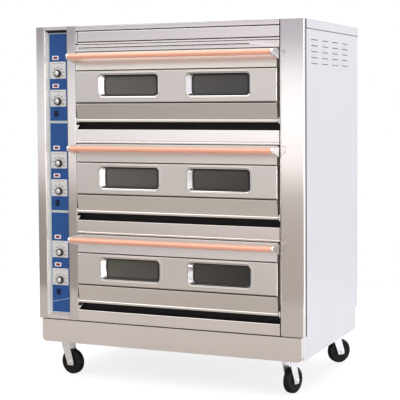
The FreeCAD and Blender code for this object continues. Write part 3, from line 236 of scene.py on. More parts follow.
def loft(rings, ring_closed=False):
    """A skin over rings of points; the ends are capped unless the last ring meets the first."""
    points, faces = [], []
    count = len(rings[0])
    for ring in rings:
        points += [Vector(point) for point in ring]
    pairs = list(zip(range(len(rings)), range(1, len(rings))))
    if ring_closed:
        pairs.append((len(rings) - 1, 0))
    else:
        last = count * (len(rings) - 1)
        faces += [tuple(range(count)), tuple(range(last, last + count))]
    for a, b in pairs:
        for k in range(count):
            n = (k + 1) % count
            faces.append((a * count + k, a * count + n, b * count + n, b * count + k))
    return points, faces


def merged(*shapes):
    points, faces = [], []
    for more_points, more_faces in shapes:
        start = len(points)
        points += more_points
        faces += [tuple(start + k for k in face) for face in more_faces]
    return points, faces


def moved(shape, matrix):
    return [matrix @ Vector(point) for point in shape[0]], shape[1]


# ---------------------------------------------------------------- finishes
def grained(name, colour, metallic, roughness, grain=None, depth=0.0, spread=0.05,
            tint=0.04, coat=0.0, specular=0.5, across=None):
    """A material whose grain, roughness and tint come from noise in the object's own space.
    With across, the tint falls off along X between two places instead; on the glass this is a painted reflection,
    lighter towards low X."""
    made = bpy.data.materials.new(name)
    made.use_nodes = True
    nodes, links = made.node_tree.nodes, made.node_tree.links
    shader = nodes["Principled BSDF"]
    shader.inputs["Metallic"].default_value = metallic
    shader.inputs["Coat Weight"].default_value = coat
    shader.inputs["Specular IOR Level"].default_value = specular
    place = nodes.new("ShaderNodeTexCoord")
    stretch = nodes.new("ShaderNodeMapping")
    stretch.inputs["Scale"].default_value = grain or (90, 90, 90)
    links.new(place.outputs["Object"], stretch.inputs["Vector"])
    lines = nodes.new("ShaderNodeTexNoise")
    lines.inputs["Scale"].default_value = 1
    lines.inputs["Detail"].default_value = 4
    lines.inputs["Roughness"].default_value = 0.6
    links.new(stretch.outputs["Vector"], lines.inputs["Vector"])
    smudges = nodes.new("ShaderNodeTexNoise")
    smudges.inputs["Scale"].default_value = 4
    smudges.inputs["Detail"].default_value = 3
    links.new(place.outputs["Object"], smudges.inputs["Vector"])
    rough = nodes.new("ShaderNodeMapRange")
    rough.inputs["To Min"].default_value = roughness - spread
    rough.inputs["To Max"].default_value = roughness + spread
    links.new(lines.outputs["Fac"], rough.inputs["Value"])
    links.new(rough.outputs["Result"], shader.inputs["Roughness"])
    mix = nodes.new("ShaderNodeMix")
    mix.data_type = "RGBA"
    mix.inputs["A"].default_value = (*[channel * (1 - tint) for channel in colour], 1)
    mix.inputs["B"].default_value = (*[min(1, channel * (1 + tint)) for channel in colour], 1)
    if across:
        split = nodes.new("ShaderNodeSeparateXYZ")
        links.new(place.outputs["Object"], split.inputs["Vector"])
        fall = nodes.new("ShaderNodeMapRange")
        fall.inputs["From Min"].default_value = across[1]
        fall.inputs["From Max"].default_value = across[0]
        links.new(split.outputs["X"], fall.inputs["Value"])
        links.new(fall.outputs["Result"], mix.inputs["Factor"])
    else:
        links.new(smudges.outputs["Fac"], mix.inputs["Factor"])
    links.new(mix.outputs["Result"], shader.inputs["Base Color"])
    if depth:
        bump = nodes.new("ShaderNodeBump")
        bump.inputs["Strength"].default_value = 0.6
        bump.inputs["Distance"].default_value = depth
        links.new(lines.outputs["Fac"], bump.inputs["Height"])
        links.new(bump.outputs["Normal"], shader.inputs["Normal"])
    return made


ACROSS = (3, 420, 420)
UPRIGHT = (420, 420, 3)
LENGTHWISE = (420, 3, 420)
STEEL = (0.74, 0.72, 0.70)

FINISHES = {
    # finish: (the record's slot, the material)
    "steel": ("stainless", grained("stainless_across", (0.85, 0.82, 0.805), 1, 0.16, ACROSS, 0.00002, 0.03)),
    "steel_upright": ("stainless", grained("stainless_upright", STEEL, 1, 0.07, UPRIGHT, 0.00001, 0.02)),
    "steel_side": ("stainless", grained("stainless_side", (0.75, 0.75, 0.77), 1, 0.38, LENGTHWISE, 0.00005)),
    "door_steel": ("door_steel", grained("door_stainless", (0.73, 0.71, 0.68), 1, 0.30, ACROSS, 0.00006)),
    "polished": ("polished_steel", grained("polished_stainless", (0.85, 0.85, 0.86), 1, 0.09, None, 0, 0.03, 0.02)),
    "zinc": ("zinc", grained("bright_zinc", (0.86, 0.87, 0.89), 0.75, 0.30, (60, 60, 60), 0.0001, 0.10, 0.10)),
    "frame_steel": ("frame_steel", grained("painted_frame", (0.10, 0.10, 0.105), 0.2, 0.55, (140, 140, 140), 0.0002)),
    # real black paint on the recess sills; also painted shade on the bay's upper slope and along the control strip's
    # right edge
    "dark_sheet": ("dark_sheet", grained("dark_sheet", (0.014, 0.012, 0.013), 0.3, 0.50, ACROSS, 0.00005, specular=0.2)),
    "chamber": ("chamber_steel", grained("chamber_steel", (0.50, 0.46, 0.42), 1, 0.42, (25, 25, 25), 0.0001, 0.12, 0.18)),
    "hearth": ("hearth", grained("hearth_plate", (0.13, 0.12, 0.115), 0.8, 0.6, (45, 45, 45), 0.0004, 0.1, 0.2)),
    "heater": ("heater", grained("heater_sheath", (0.10, 0.085, 0.075), 0.7, 0.5, (160, 160, 160), 0.0001, 0.1, 0.2)),
    "wool": ("wool", grained("mineral_wool", (0.66, 0.60, 0.36), 0, 0.95, (240, 240, 240), 0.002, 0.04, 0.2)),
    "copper": ("copper_handle", grained("copper_grip", (0.93, 0.47, 0.345), 0.30, 0.30, (4, 500, 500), 0.00005, 0.06, 0.05)),
    # painted light for the control bay's one bevel frame: a near-white lit tone for its sides and a brown-grey
    # half-shaded tone for its lower slope
    "bay_trim": ("polished_steel", grained("bay_trim", (0.94, 0.93, 0.88), 0.12, 0.34, UPRIGHT, 0.00002)),
    "bay_sill": ("stainless", grained("bay_sill", (0.60, 0.55, 0.52), 0.15, 0.45, ACROSS, 0.00002, specular=0.2)),
    "chrome": ("chrome", grained("bright_chrome", (0.90, 0.90, 0.90), 1, 0.10, None, 0, 0.03, 0.02)),
    # painted reflection: the smoked glass is made lighter towards low X, from x 0.45 m to x -0.30 m
    "glass": ("smoked_glass", grained("smoked_glass", (0.062, 0.060, 0.053), 0, 0.10, None, 0, 0.02, 0.68, 0.2, 0.45, (-0.30, 0.45))),
    "blue": ("blue_panel", grained("blue_film", (0.020, 0.086, 0.300), 0, 0.45, (300, 300, 300), 0.00003, 0.05, 0.05, 0, 0.25)),
    "pale_print": ("blue_panel", grained("pale_print", (0.62, 0.80, 0.86), 0, 0.45, (300, 300, 300), 0.00002)),
    "dial": ("dial_silver", grained("dial_silver", (0.74, 0.75, 0.76), 0.30, 0.38, (4, 400, 400), 0.00003)),
    "ink": ("black_plastic", grained("dial_ink", (0.03, 0.03, 0.035), 0, 0.5, (300, 300, 300), 0.00002)),
    # real black plastic for knobs, gland and window gaskets; also painted shade in the plinth joint, side seams, header
    # grooves, door creases, louvre slots and under the cover flanges
    "black": ("black_plastic", grained("black_plastic", (0.022, 0.022, 0.025), 0, 0.38, (220, 220, 220), 0.00008)),
    "navy": ("black_plastic", grained("navy_plastic", (0.010, 0.018, 0.055), 0, 0.42, (220, 220, 220), 0.00006, specular=0.12)),
    "strip_band": ("blue_panel", grained("strip_band", (0.50, 0.58, 0.56), 0, 0.45, (300, 300, 300), 0.00002)),
    "lamp_red": ("lamp_red", grained("lamp_red", (0.22, 0.012, 0.018), 0, 0.22, (120, 120, 120), 0.0001, 0.05, 0.1, 0.4)),
    "lamp_frame": ("grey_plastic", grained("lamp_frame", (0.88, 0.85, 0.92), 0, 0.35, (200, 200, 200), 0.00004)),
    "grey": ("grey_plastic", grained("grey_plastic", (0.16, 0.165, 0.17), 0, 0.5, (200, 200, 200), 0.0001)),
    "rubber": ("black_rubber", grained("black_rubber", (0.010, 0.010, 0.012), 0, 0.55, (150, 150, 150), 0.0003, specular=0.2)),
}


def piece(name, shape, finish, body="root", *stands_for):
    """A closed mesh with a finish, riding on a CAD body, that may stand for CAD nodes."""
    points, faces = shape
    mesh = bpy.data.meshes.new(name)
    work = bmesh.new()
    corners = [work.verts.new(point) for point in points]
    for face in faces:
        work.faces.new([corners[k] for k in face])
    bmesh.ops.remove_doubles(work, verts=work.verts, dist=1e-7)
    bmesh.ops.recalc_face_normals(work, faces=work.faces)
    for face in work.faces:
        face.smooth = True
    work.to_mesh(mesh)
    work.free()
    mesh.set_sharp_from_angle(angle=math.radians(32))
    made = bpy.data.objects.new(name, mesh)
    bpy.context.scene.collection.objects.link(made)
    weights = made.modifiers.new("flat_faces", "WEIGHTED_NORMAL")
    weights.keep_sharp = True
    slot_name, material = FINISHES[finish]
    mesh.materials.append(material)
    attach(made, body)
    if stands_for:
        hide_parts(*stands_for)
    return made


def dress(node, finish):
    """Gives a CAD node that stays in view its material."""
    slot_name, material = FINISHES[finish]
    shown = frame["nodes"][node]
    shown.data.materials.clear()
    shown.data.materials.append(material)


# ---------------------------------------------------------------- casing
def plinth():
    height = (PLINTH_LOW, PLINTH_TOP - 0.001)
    pan = rounded((PLINTH_LEFT, PLINTH_RIGHT), height, (0.021, 0.021, 0.003, 0.003))
    front = slab("front", PLINTH_FRONT, [pan], soft_edge(0.0015, 0.016) + [(SKIN, 0.016), (SKIN, 0.0035), (0.003, SKIN)])
    piece("plinth_front", front, "steel", "root", "plinth")
    # a black strip in the joint under the casing: painted shade, standing for the shadow in the gap above the plinth
    joint_shade_tall = 0.0022
    line = block((PLINTH_LEFT + 0.004, PLINTH_RIGHT - 0.004), (PLINTH_FRONT - 0.0004, PLINTH_FRONT + 0.0004), (PLINTH_TOP - 0.001 - joint_shade_tall, PLINTH_TOP - 0.001), 0.0001)
    piece("plinth_line", line, "black")
    start = PLINTH_FRONT + 0.018
    shapes = [block((PLINTH_LEFT, PLINTH_RIGHT), (PLINTH_BACK - SKIN, PLINTH_BACK), height)]
    for face in (PLINTH_LEFT, PLINTH_RIGHT - SKIN):
        shapes.append(slab("left", face, [rounded((start, PLINTH_BACK - SKIN - 0.0005), height, 0)], [(0, 0), (0, SKIN)]))
    piece("plinth_sides", merged(*shapes), "steel_side")


def pillars():
    z = (PLINTH_TOP + 0.001, UNDER_TOP - 0.001)
    seam_left, seam_right = LEFT + SEAM_DEEP, RIGHT - SEAM_DEEP
    path = [
        (seam_left, PILLAR_BACK),
        (seam_left, FRONT + PILLAR_RETURN),
        (LEFT, FRONT + PILLAR_RETURN),
        (LEFT, FRONT),
        (BAY_LEFT - 0.0006, FRONT),
        (BAY_LEFT - 0.0006, FRONT + 0.010),
    ]
    piece("left_corner_post", bent("z", path, 0.004, z, side=-1), "steel_upright", "root", "left_pillar")
    path = [
        (PILLAR_LEFT, JAMB_BACK),
        (PILLAR_LEFT, FRONT),
        (RIGHT, FRONT),
        (RIGHT, FRONT + PILLAR_RETURN),
        (seam_right, FRONT + PILLAR_RETURN),
        (seam_right, PILLAR_BACK),
    ]
    piece("right_corner_post", bent("z", path, 0.009, z), "steel_upright", "root", "right_pillar")
    # black strips in front of the side panels' front folds: painted shade in the seams behind the corner posts
    seam_shades = []
    for sign in (-1, 1):
        x = sorted((sign * (RIGHT - SEAM_DEEP + 0.0003), sign * (RIGHT - 0.0008)))
        seam_shades.append(block(x, (FRONT + 0.0310, FRONT + 0.0336), z, 0.0001))
    piece("seam_liners", merged(*seam_shades), "black")


def header():
    """Three proud strips over a recessed sheet painted black as shade, so that the joints between them read as dark
    grooves.
    """
    x = (HEADER_LEFT + 0.001, HEADER_RIGHT - 0.001)
    groove = 0.0048
    top_low = UNDER_TOP - 0.021
    name_high = top_low - groove
    name_low = HEADER_LOW + 0.045
    # the recessed sheet is black: painted shade in the grooves between the strips and behind the slot
    groove_shade = block(x, (FRONT + 0.004, FRONT + 0.0055), (HEADER_LOW + 0.010, UNDER_TOP - 0.002))
    piece("header_backing", groove_shade, "black", "root", "header_fascia")
    top_strip = slab("front", FRONT, [rounded(x, (top_low, UNDER_TOP - 0.001), 0)], soft_edge(0.0015, 0.004))
    name_strip = slab("front", FRONT, [rounded((x[0] + 0.013, x[1]), (name_low, name_high), 0.0015, 3)], soft_edge(0.0015, 0.004))
    end_strip = slab("front", FRONT, [rounded((x[0], x[0] + 0.0095), (HEADER_LOW + 0.036, name_high), 0)], soft_edge(0.0015, 0.004))
    mid_strip = slab("front", FRONT, [rounded((x[0] + 0.013, x[1]), (HEADER_LOW + 0.033, name_low - groove), 0)], soft_edge(0.0015, 0.004))
    slot_z = (HEADER_LOW + 0.015, HEADER_LOW + 0.019)
    slot_hole = rounded((HEADER_LEFT + 0.018, HEADER_RIGHT - 0.135), slot_z, 0.0018, 3)
    band = rounded(x, (HEADER_LOW + 0.0005, HEADER_LOW + 0.030), 0)
    lower = slab("front", FRONT, [band, slot_hole], [soft_edge(0.0015, 0.004), soft_edge(0.0006, 0.004, 2)])
    sill = block(x, (FRONT + 0.0042, JAMB_BACK), (HEADER_LOW + 0.0005, HEADER_LOW + 0.0005 + SKIN))
    piece("header_strips", merged(top_strip, name_strip, end_strip, mid_strip, lower, sill), "steel")


def fascias():
    x = (HEADER_LEFT + 0.001, HEADER_RIGHT - 0.001)
    _, _, (rail_low, _) = bounds("deck_fascias")
    sills = deck_gaps()
    rail = [
        (FRONT + 0.020, rail_low + 0.0008),
        (FRONT, rail_low + 0.0008),
        (FRONT, sills["lower"][0]),
        (FRONT + 0.010, sills["lower"][0]),
    ]
    shapes = [bent("x", rail, 0.003, x, side=-1)]
    for below, deck in (("lower", "middle"), ("middle", "upper")):
        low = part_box(f"{below}_door_skin")[1].z + 0.004
        high = sills[deck][0]
        path = [
            (JAMB_BACK, low),
            (FRONT, low),
            (FRONT, low + 0.007),
            (FRONT + 0.0022, low + 0.009),
            (FRONT, low + 0.0115),
            (FRONT, high),
            (FRONT + 0.010, high),
        ]
        shapes.append(bent("x", path, 0.0022, x, side=-1))
    piece("deck_dividers", merged(*shapes), "steel", "root", "deck_fascias")


def deck_gaps():
    """The height of the open recess under each door."""
    gap = 0.034
    return {deck: (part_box(f"{deck}_door_skin")[0].z - gap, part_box(f"{deck}_door_skin")[0].z) for deck in DECKS}


def sills():
    left, right = HEADER_LEFT + 0.0008, HEADER_RIGHT - 0.0008
    floors, cheeks = [], []
    for deck, (low, high) in deck_gaps().items():
        path = [(FRONT + 0.0115, low - SKIN), (JAMB_BACK, low - SKIN), (JAMB_BACK, high + 0.004)]
        floors.append(bent("x", path, 0.003, (left, right), side=-1))
        tall = high - low - 0.014
        gusset = [(left, low + 0.0006), (left + 0.005, low + 0.0006), (left + 0.018, low + tall), (left, low + tall)]
        cheeks.append(slab("front", FRONT + 0.0012, [gusset], [(0, 0), (0, SKIN)]))
    piece("recess_sills", merged(*floors), "dark_sheet", "root", "door_sills")
    piece("recess_cheeks", merged(*cheeks), "steel")


LOUVRE_COLUMNS, LOUVRE_ROWS = 4, 5
LOUVRE_FIRST, LOUVRE_STEP = 0.099, 0.152
LOUVRE_LONG, LOUVRE_TALL, LOUVRE_PITCH, LOUVRE_PROUD = 0.098, 0.010, 0.0255, 0.0048
LOUVRE_TOP = TOP - 0.074


def louvre_places():
    for column in range(LOUVRE_COLUMNS):
        for row in range(LOUVRE_ROWS):
            yield FRONT + LOUVRE_FIRST + column * LOUVRE_STEP, LOUVRE_TOP - row * LOUVRE_PITCH


def louvre(face, sign, y, top):
    """A pressed hood that opens downwards, with tapering ends."""
    rings = []
    thick = 0.0009
    stations = (0, 0.03, 0.08, 0.15, 0.85, 0.92, 0.97, 1)
    for at in stations:
        swell = min(1, math.sin(math.pi * min(at, 1 - at, 0.15) / 0.3)) * 0.9 + 0.1
        outer, inner = [], []
        for step in range(7):
            turn = math.pi / 2 * step / 6
            fall, reach = LOUVRE_TALL * (1 - math.cos(turn)), LOUVRE_PROUD * math.sin(turn)
            z = top - LOUVRE_TALL + (LOUVRE_TALL - fall) * swell
            outer.append((face + sign * reach * swell, y + at * LOUVRE_LONG, z))
            inner.append((face + sign * (reach * swell - thick * swell * math.sin(turn)) - sign * 0.0002,
                          y + at * LOUVRE_LONG, z - thick * swell * math.cos(turn)))
        rings.append(outer + inner[::-1])
    return loft(rings)


def side_panels():
    _, (start, end), (low, high) = bounds("side_panels")
    low, high = low + 0.001, high - 0.0375
    hoods, slot_shades = [], []
    for side, sign in (("left", -1), ("right", 1)):
        face = sign * (RIGHT - SKIN)
        path = [
            (sign * (RIGHT - SEAM_DEEP), start),
            (face - sign * 0.0016, start),
            (face, start + 0.030),
            (face, end),
        ]
        sheet = bent("z", path, 0.002, (low, high), side=sign)
        piece(f"{side}_side_panel", sheet, "steel_side", "root", *(("side_panels",) if sign > 0 else ()))
        for y, top in louvre_places():
            hoods.append(louvre(face, sign, y, top))
            x = sorted((face - sign * 0.0002, face + sign * 0.0004))
            # a black patch on the panel under each hood, reaching 3 mm below it: painted shade for the opening and a
            # painted shadow line beneath the hood
            slot_shades.append(slab("left", x[0], [rounded((y + 0.006, y + LOUVRE_LONG - 0.006), (top - LOUVRE_TALL - 0.0030, top - 0.004), 0)], [(0, 0), (0, x[1] - x[0])]))
    piece("side_louvres", merged(*hoods), "steel_side")
    piece("louvre_slots", merged(*slot_shades), "black")


def top_cover():
    flange = 0.038
    sheet = slab("top", TOP, [rounded((LEFT, RIGHT), (FRONT, BACK), 0.002, 3)], soft_edge(0.001, SKIN, 3))
    shapes = [sheet]
    for sign in (-1, 1):
        path = [
            (sign * (RIGHT - 0.012), UNDER_TOP),
            (sign * RIGHT, UNDER_TOP),
            (sign * RIGHT, TOP - flange),
            (sign * (RIGHT - 0.0012), TOP - flange - 0.0005),
        ]
        shapes.append(bent("y", path, 0.0015, (FRONT + 0.035, BACK), side=-sign))
    piece("cover", merged(*shapes), "steel_side", "root", "top_cover")
    # black strips just under the cover's side flanges: painted shade under the flange edge, not gaskets
    gaskets_and_shade_strips = []
    for sign in (-1, 1):
        x = sorted((sign * (RIGHT - 0.0022), sign * (RIGHT - 0.0004)))
        gaskets_and_shade_strips.append(block(x, (FRONT + 0.036, BACK - 0.001), (TOP - flange - 0.0034, TOP - flange - 0.0008), 0.0001))
    piece("cover_gaskets", merged(*gaskets_and_shade_strips), "black")


def gland():
    (left, right), (front, back), (low, high) = bounds("cable_inlet")
    centre = ((left + right) / 2, BACK, (low + high) / 2)
    bore, tube = 0.014, 0.0172
    reach = back - BACK
    ring = [(bore, -0.011), (tube, -0.011), (tube, 0), (0.0245, 0.0005), (0.0255, 0.0015), (0.0255, 0.005), (0.0245, 0.006),
            (tube + 0.002, 0.0065), (tube + 0.0024, reach - 0.004), (tube, reach - 0.0005), (bore + 0.001, reach - 0.0005), (bore, reach - 0.0015)]
    points, faces = lathe(ring, centre, "y")
    count = 40
    faces = faces[:-2]
    last = len(points) - count
    for k in range(count):
        n = (k + 1) % count
        faces.append((last + k, last + n, n, k))
    piece("gland", (points, faces), "black", "root", "cable_inlet")


# ---------------------------------------------------------------- control bay
def control_bay():
    z_low, z_high = PLINTH_TOP + 0.001, UNDER_TOP - 0.001
    mouth_x = (BAY_LEFT + 0.0004, BAY_RIGHT - 0.0004)
    mouth_z = (PLINTH_TOP + 0.015, UNDER_TOP - 0.015)
    floor_x = (STRIP_LEFT - 0.0012, STRIP_RIGHT + 0.0012)
    floor_z = (STRIP_LOW - 0.001, STRIP_HIGH + 0.001)
    rings = []
    for x, z, y in (
        (mouth_x, mouth_z, FRONT + 0.0006),
        (floor_x, floor_z, BAY_FLOOR - 0.0002),
        (floor_x, floor_z, BAY_FLOOR + 0.001),
        (mouth_x, mouth_z, FRONT + 0.0022),
    ):
        rings.append([(x[0], y, z[0]), (x[1], y, z[0]), (x[1], y, z[1]), (x[0], y, z[1])])
    corners = list(zip(*rings))
    sides = [loft([corners[k], corners[(k + 1) % 4]]) for k in range(4)]
    # the bay's bevel is painted in three tones by how light falls on each side: sides near white as lit, lower slope
    # brown-grey as half shaded, upper slope near black as painted shade
    piece("bay_bevels", merged(sides[1], sides[3]), "bay_trim", "root", "control_bay")
    piece("bay_lower_slope", sides[0], "bay_sill")
    piece("bay_upper_slope", sides[2], "dark_sheet")
    ends = []
    for span in ((z_low, mouth_z[0] - 0.0004), (mouth_z[1] + 0.0004, z_high)):
        ends.append(slab("front", FRONT, [rounded((BAY_LEFT + 0.0004, BAY_RIGHT - 0.0004), span, 0)], soft_edge(0.001, 0.004)))
    piece("bay_ends", merged(*ends), "steel")
    floor = slab("front", BAY_FLOOR, [rounded((floor_x[0] - 0.001, floor_x[1] + 0.001), floor_z, 0)], [(0, 0), (0, SKIN)])
    piece("bay_floor", floor, "steel_upright")
    path = [
        (BAY_RIGHT, FRONT + 0.008),
        (BAY_RIGHT, FRONT),
        (POST_RIGHT, FRONT),
        (POST_RIGHT, JAMB_BACK),
    ]
    piece("door_post", bent("z", path, 0.003, (z_low, z_high)), "steel_upright")


def strip():
    sheet = slab("front", STRIP_FRONT, [rounded((STRIP_LEFT, STRIP_RIGHT), (STRIP_LOW, STRIP_HIGH), 0.002)], soft_edge(0.0003, BAY_FLOOR - STRIP_FRONT, 2))
    piece("blue_strip", sheet, "blue", "root", "control_strip")
    line, inset = 0.0024, 0.0008
    x = (STRIP_LEFT + inset, STRIP_RIGHT - inset)
    z = (STRIP_LOW + inset, STRIP_HIGH - inset)
    inner = ((x[0] + line, x[1] - line), (z[0] + line, z[1] - line))
    flat = [(0, 0), (0, 0.00012)]
    shapes = [slab("front", STRIP_FRONT - 0.0001, [rounded(x, z, 0), rounded(*inner, 0)], flat)]
    slant_low, slant_rise, slant_half = STRIP_LOW + 0.050, 0.020, 0.0007
    slant = [
        (inner[0][0], slant_low - slant_half),
        (inner[0][1], slant_low + slant_rise - slant_half),
        (inner[0][1], slant_low + slant_rise + slant_half),
        (inner[0][0], slant_low + slant_half),
    ]
    shapes.append(slab("front", STRIP_FRONT - 0.0001, [slant], flat))
    piece("strip_border", merged(*shapes), "pale_print")
    band_half, post_shadow_wide = 0.0055, 0.009
    bands = []
    for deck in ("middle", "upper"):
        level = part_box(f"{deck}_door_skin")[0].z - 0.001
        bands.append(slab("front", STRIP_FRONT - 0.0002, [rounded((inner[0][0], STRIP_RIGHT - post_shadow_wide), (level - band_half, level + band_half), 0)], flat))
    piece("strip_bands", merged(*bands), "strip_band")
    # a dark band along the strip's right edge: painted shadow of the door post that stands proud beside it
    edge = rounded((STRIP_RIGHT - post_shadow_wide, STRIP_RIGHT - 0.0002), (STRIP_LOW + 0.0005, STRIP_HIGH - 0.0005), 0)
    piece("strip_edge", slab("front", STRIP_FRONT - 0.0003, [edge], flat), "dark_sheet")


def digits(text, size):
    """Flat solid numerals, centred on the origin, that face -Y."""
    curve = bpy.data.curves.new("numerals", "FONT")
    curve.body = text
    curve.size = size
    curve.align_x = "CENTER"
    curve.align_y = "CENTER"
    curve.resolution_u = 2
    curve.extrude = 0.00006
    writer = bpy.data.objects.new("numerals", curve)
    bpy.context.scene.collection.objects.link(writer)
    bpy.context.view_layer.update()
    mesh = bpy.data.meshes.new_from_object(writer.evaluated_get(bpy.context.evaluated_depsgraph_get()))
    turn = Matrix.Rotation(math.pi / 2, 4, "X")
    points = [turn @ vertex.co for vertex in mesh.vertices]
    faces = [tuple(polygon.vertices) for polygon in mesh.polygons]
    bpy.data.objects.remove(writer)
    bpy.data.curves.remove(curve)
    bpy.data.meshes.remove(mesh)
    return points, faces


DIAL_START, DIAL_SWEEP = math.radians(205), math.radians(-230)
DIAL_STEPS = 6
PLATE_TALL, PLATE_RISE = 0.078, 0.024


def dials():
    (left, right), (front, back), _ = bounds("dial_plates")
    numerals = [digits(str(50 * step), 0.0088) for step in range(DIAL_STEPS + 1)]
    plates, prints = [], []
    for deck in DECKS:
        for heat in HEATS:
            x, _, z = JOINTS[f"{deck}_{heat}_knob"]["pos_m"]
            low = z - PLATE_RISE
            loop = rounded((left, right), (low, low + PLATE_TALL), 0.004)
            hole = circle(x, z, 0.006)[::-1]
            plates.append(slab("front", front, [loop, hole], [soft_edge(0.0006, back - front, 2), [(0, 0), (0, back - front)]]))
            ink = front - 0.00008
            for step in range(DIAL_STEPS + 1):
                angle = DIAL_START + DIAL_SWEEP * step / DIAL_STEPS
                spot = Vector((x + 0.0305 * math.cos(angle), ink, z + 0.0285 * math.sin(angle)))
                prints.append(moved(numerals[step], Matrix.Translation(spot)))
            for step in range(2 * DIAL_STEPS + 1):
                angle = DIAL_START + DIAL_SWEEP * step / DIAL_STEPS / 2
                radius = 0.0235 if step % 2 == 0 else 0.0222
                tick = slab("front", 0, [rounded((0.0198, radius), (-0.0004, 0.0004), 0)], [(0, 0), (0, 0.0001)])
                turn = Matrix.Translation((x, ink, z)) @ Matrix.Rotation(-angle, 4, "Y")
                prints.append(moved(tick, turn))
            underline = rounded((x - 0.030, x + 0.030), (low + PLATE_TALL - 0.0085, low + PLATE_TALL - 0.0075), 0)
            prints.append(slab("front", ink, [underline], [(0, 0), (0, 0.0001)]))
    piece("dial_faces", merged(*plates), "dial", "root", "dial_plates")
    piece("dial_print", merged(*prints), "ink")


def knob(deck, heat):
    node = f"{deck}_{heat}_knob"
    x, _, z = JOINTS[node]["pos_m"]
    (left, right), (front, back), _ = bounds(node)
    _, (plate_front, _), _ = bounds("dial_plates")
    radius = (right - left) / 2
    base = plate_front - 0.0006
    face = base - 0.013
    ribs = 36
    rings = []
    for share, y in ((0.97, base), (1.0, base - 0.0012), (1.0, base - 0.0030), (0.93, base - 0.0036),
                     (0.91, face + 0.0016), (0.87, face + 0.0004), (0.80, face), (0.56, face + 0.0008)):
        ring = []
        for k in range(ribs * 2):
            notch = 1 - (0.02 if k % 2 and 0.88 < share < 0.94 else 0)
            angle = math.pi * k / ribs
            ring.append((x + radius * share * notch * math.cos(angle), y, z + radius * share * notch * math.sin(angle)))
        rings.append(ring)
    piece(f"{node}_grip", loft(rings), "black", node, node)
    cap = [(0, -0.0035), (0.0072, -0.0033), (0.0102, -0.0024), (0.0113, -0.0010), (0.0116, 0.0022)]
    piece(f"{node}_cap", lathe(cap, (x, face, z)), "chrome", node)
    pointer = rounded((x - 0.0009, x + 0.0009), (z + 0.0122, z + 0.0155), 0)
    piece(f"{node}_pointer", slab("front", face - 0.0003, [pointer], [(0, 0), (0, 0.0009)]), "lamp_frame", node)
    shaft = [(0.003, base - 0.001 - plate_front), (0.003, back - plate_front)]
    piece(f"{node}_spindle", lathe(shaft, (x, plate_front, z), count=20), "zinc", node)


def lamps():
    (left, right), _, _ = bounds("indicator_lamps")
    half_tall = 0.0095
    frames, lenses = [], []
    for deck in DECKS:
        for heat in HEATS:
            z = JOINTS[f"{deck}_{heat}_knob"]["pos_m"][2] + 0.072
            outer = rounded((left, right), (z - half_tall, z + half_tall), 0.004)
            hole = rounded((left + 0.0065, right - 0.0065), (z - half_tall + 0.0042, z + half_tall - 0.0042), 0.0015)
            frames.append(slab("front", STRIP_FRONT - 0.003, [outer, hole], [soft_edge(0.0013, 0.003, 3), soft_edge(0.0008, 0.003, 2)]))
            lens = rounded((left + 0.0067, right - 0.0067), (z - half_tall + 0.0044, z + half_tall - 0.0044), 0.0012)
            lenses.append(slab("front", STRIP_FRONT - 0.0026, [lens], soft_edge(0.0012, 0.0024, 3)))
    piece("lamp_frames", merged(*frames), "lamp_frame", "root", "indicator_lamps")
    piece("lamp_lenses", merged(*lenses), "lamp_red")


def switches():
    (left, right), (front, back), _ = bounds("switch_housings")
    wall = 0.003
    cases = []
    for deck in DECKS:
        joint = JOINTS[f"{deck}_rocker"]
        x, pivot_y, z = joint["pos_m"]
        half = 0.014
        outer = rounded((left, right), (z - half, z + half), 0.0025)
        hole = rounded((left + wall, right - wall), (z - half + wall, z + half - wall), 0.0008, 3)
        depth = back - 0.006 - front
        cases.append(slab("front", front, [outer, hole], [soft_edge(0.0009, 0.002, 3) + [(0.002, 0.002), (0.002, depth)], [(0, 0), (0, depth)]]))
        cases.append(block((left + 0.002, right - 0.002), (front + depth, back), (z - half + 0.002, z + half - 0.002)))
        paddle_x = (left + wall + 0.0004, right - wall - 0.0004)
        half_tall = half - wall - 0.0013
        reach = 0.009
        profile = []
        for step in range(9):
            share = -1 + 2 * step / 8
            profile.append((-reach + 0.0012 * (1 - abs(share)) ** 1, half_tall * share))
        outline = profile + [(0.004, half_tall), (0.004, -half_tall)]
        shape = slab("left", paddle_x[0] - x, [outline], [(0.0003, 0), (0, 0.0003), (0, paddle_x[1] - paddle_x[0] - 0.0003), (0.0003, paddle_x[1] - paddle_x[0])])
        place = Matrix.Translation((x, pivot_y, z)) @ Matrix.Rotation(math.radians(-8), 4, "X")
        piece(f"{deck}_rocker_paddle", moved(shape, place), "navy", f"{deck}_rocker", f"{deck}_rocker")
        mark = slab("front", -reach - 0.0002 + 0.0006, [rounded((-0.0005, 0.0005), (0.002, 0.0055), 0)], [(0, 0), (0, 0.0012)])
        piece(f"{deck}_rocker_mark", moved(mark, place), "blue", f"{deck}_rocker")
    piece("switch_cases", merged(*cases), "navy", "root", "switch_housings")


# ---------------------------------------------------------------- doors
CREASE_LOW, CREASE_HIGH = 0.089, 0.230
WINDOW_CORNER, SIGHT_CORNER = 0.022, 0.017
DOOR_BACK = 0.034
DOOR_PROUD = 0.014
TOP_PROUD = 0.002


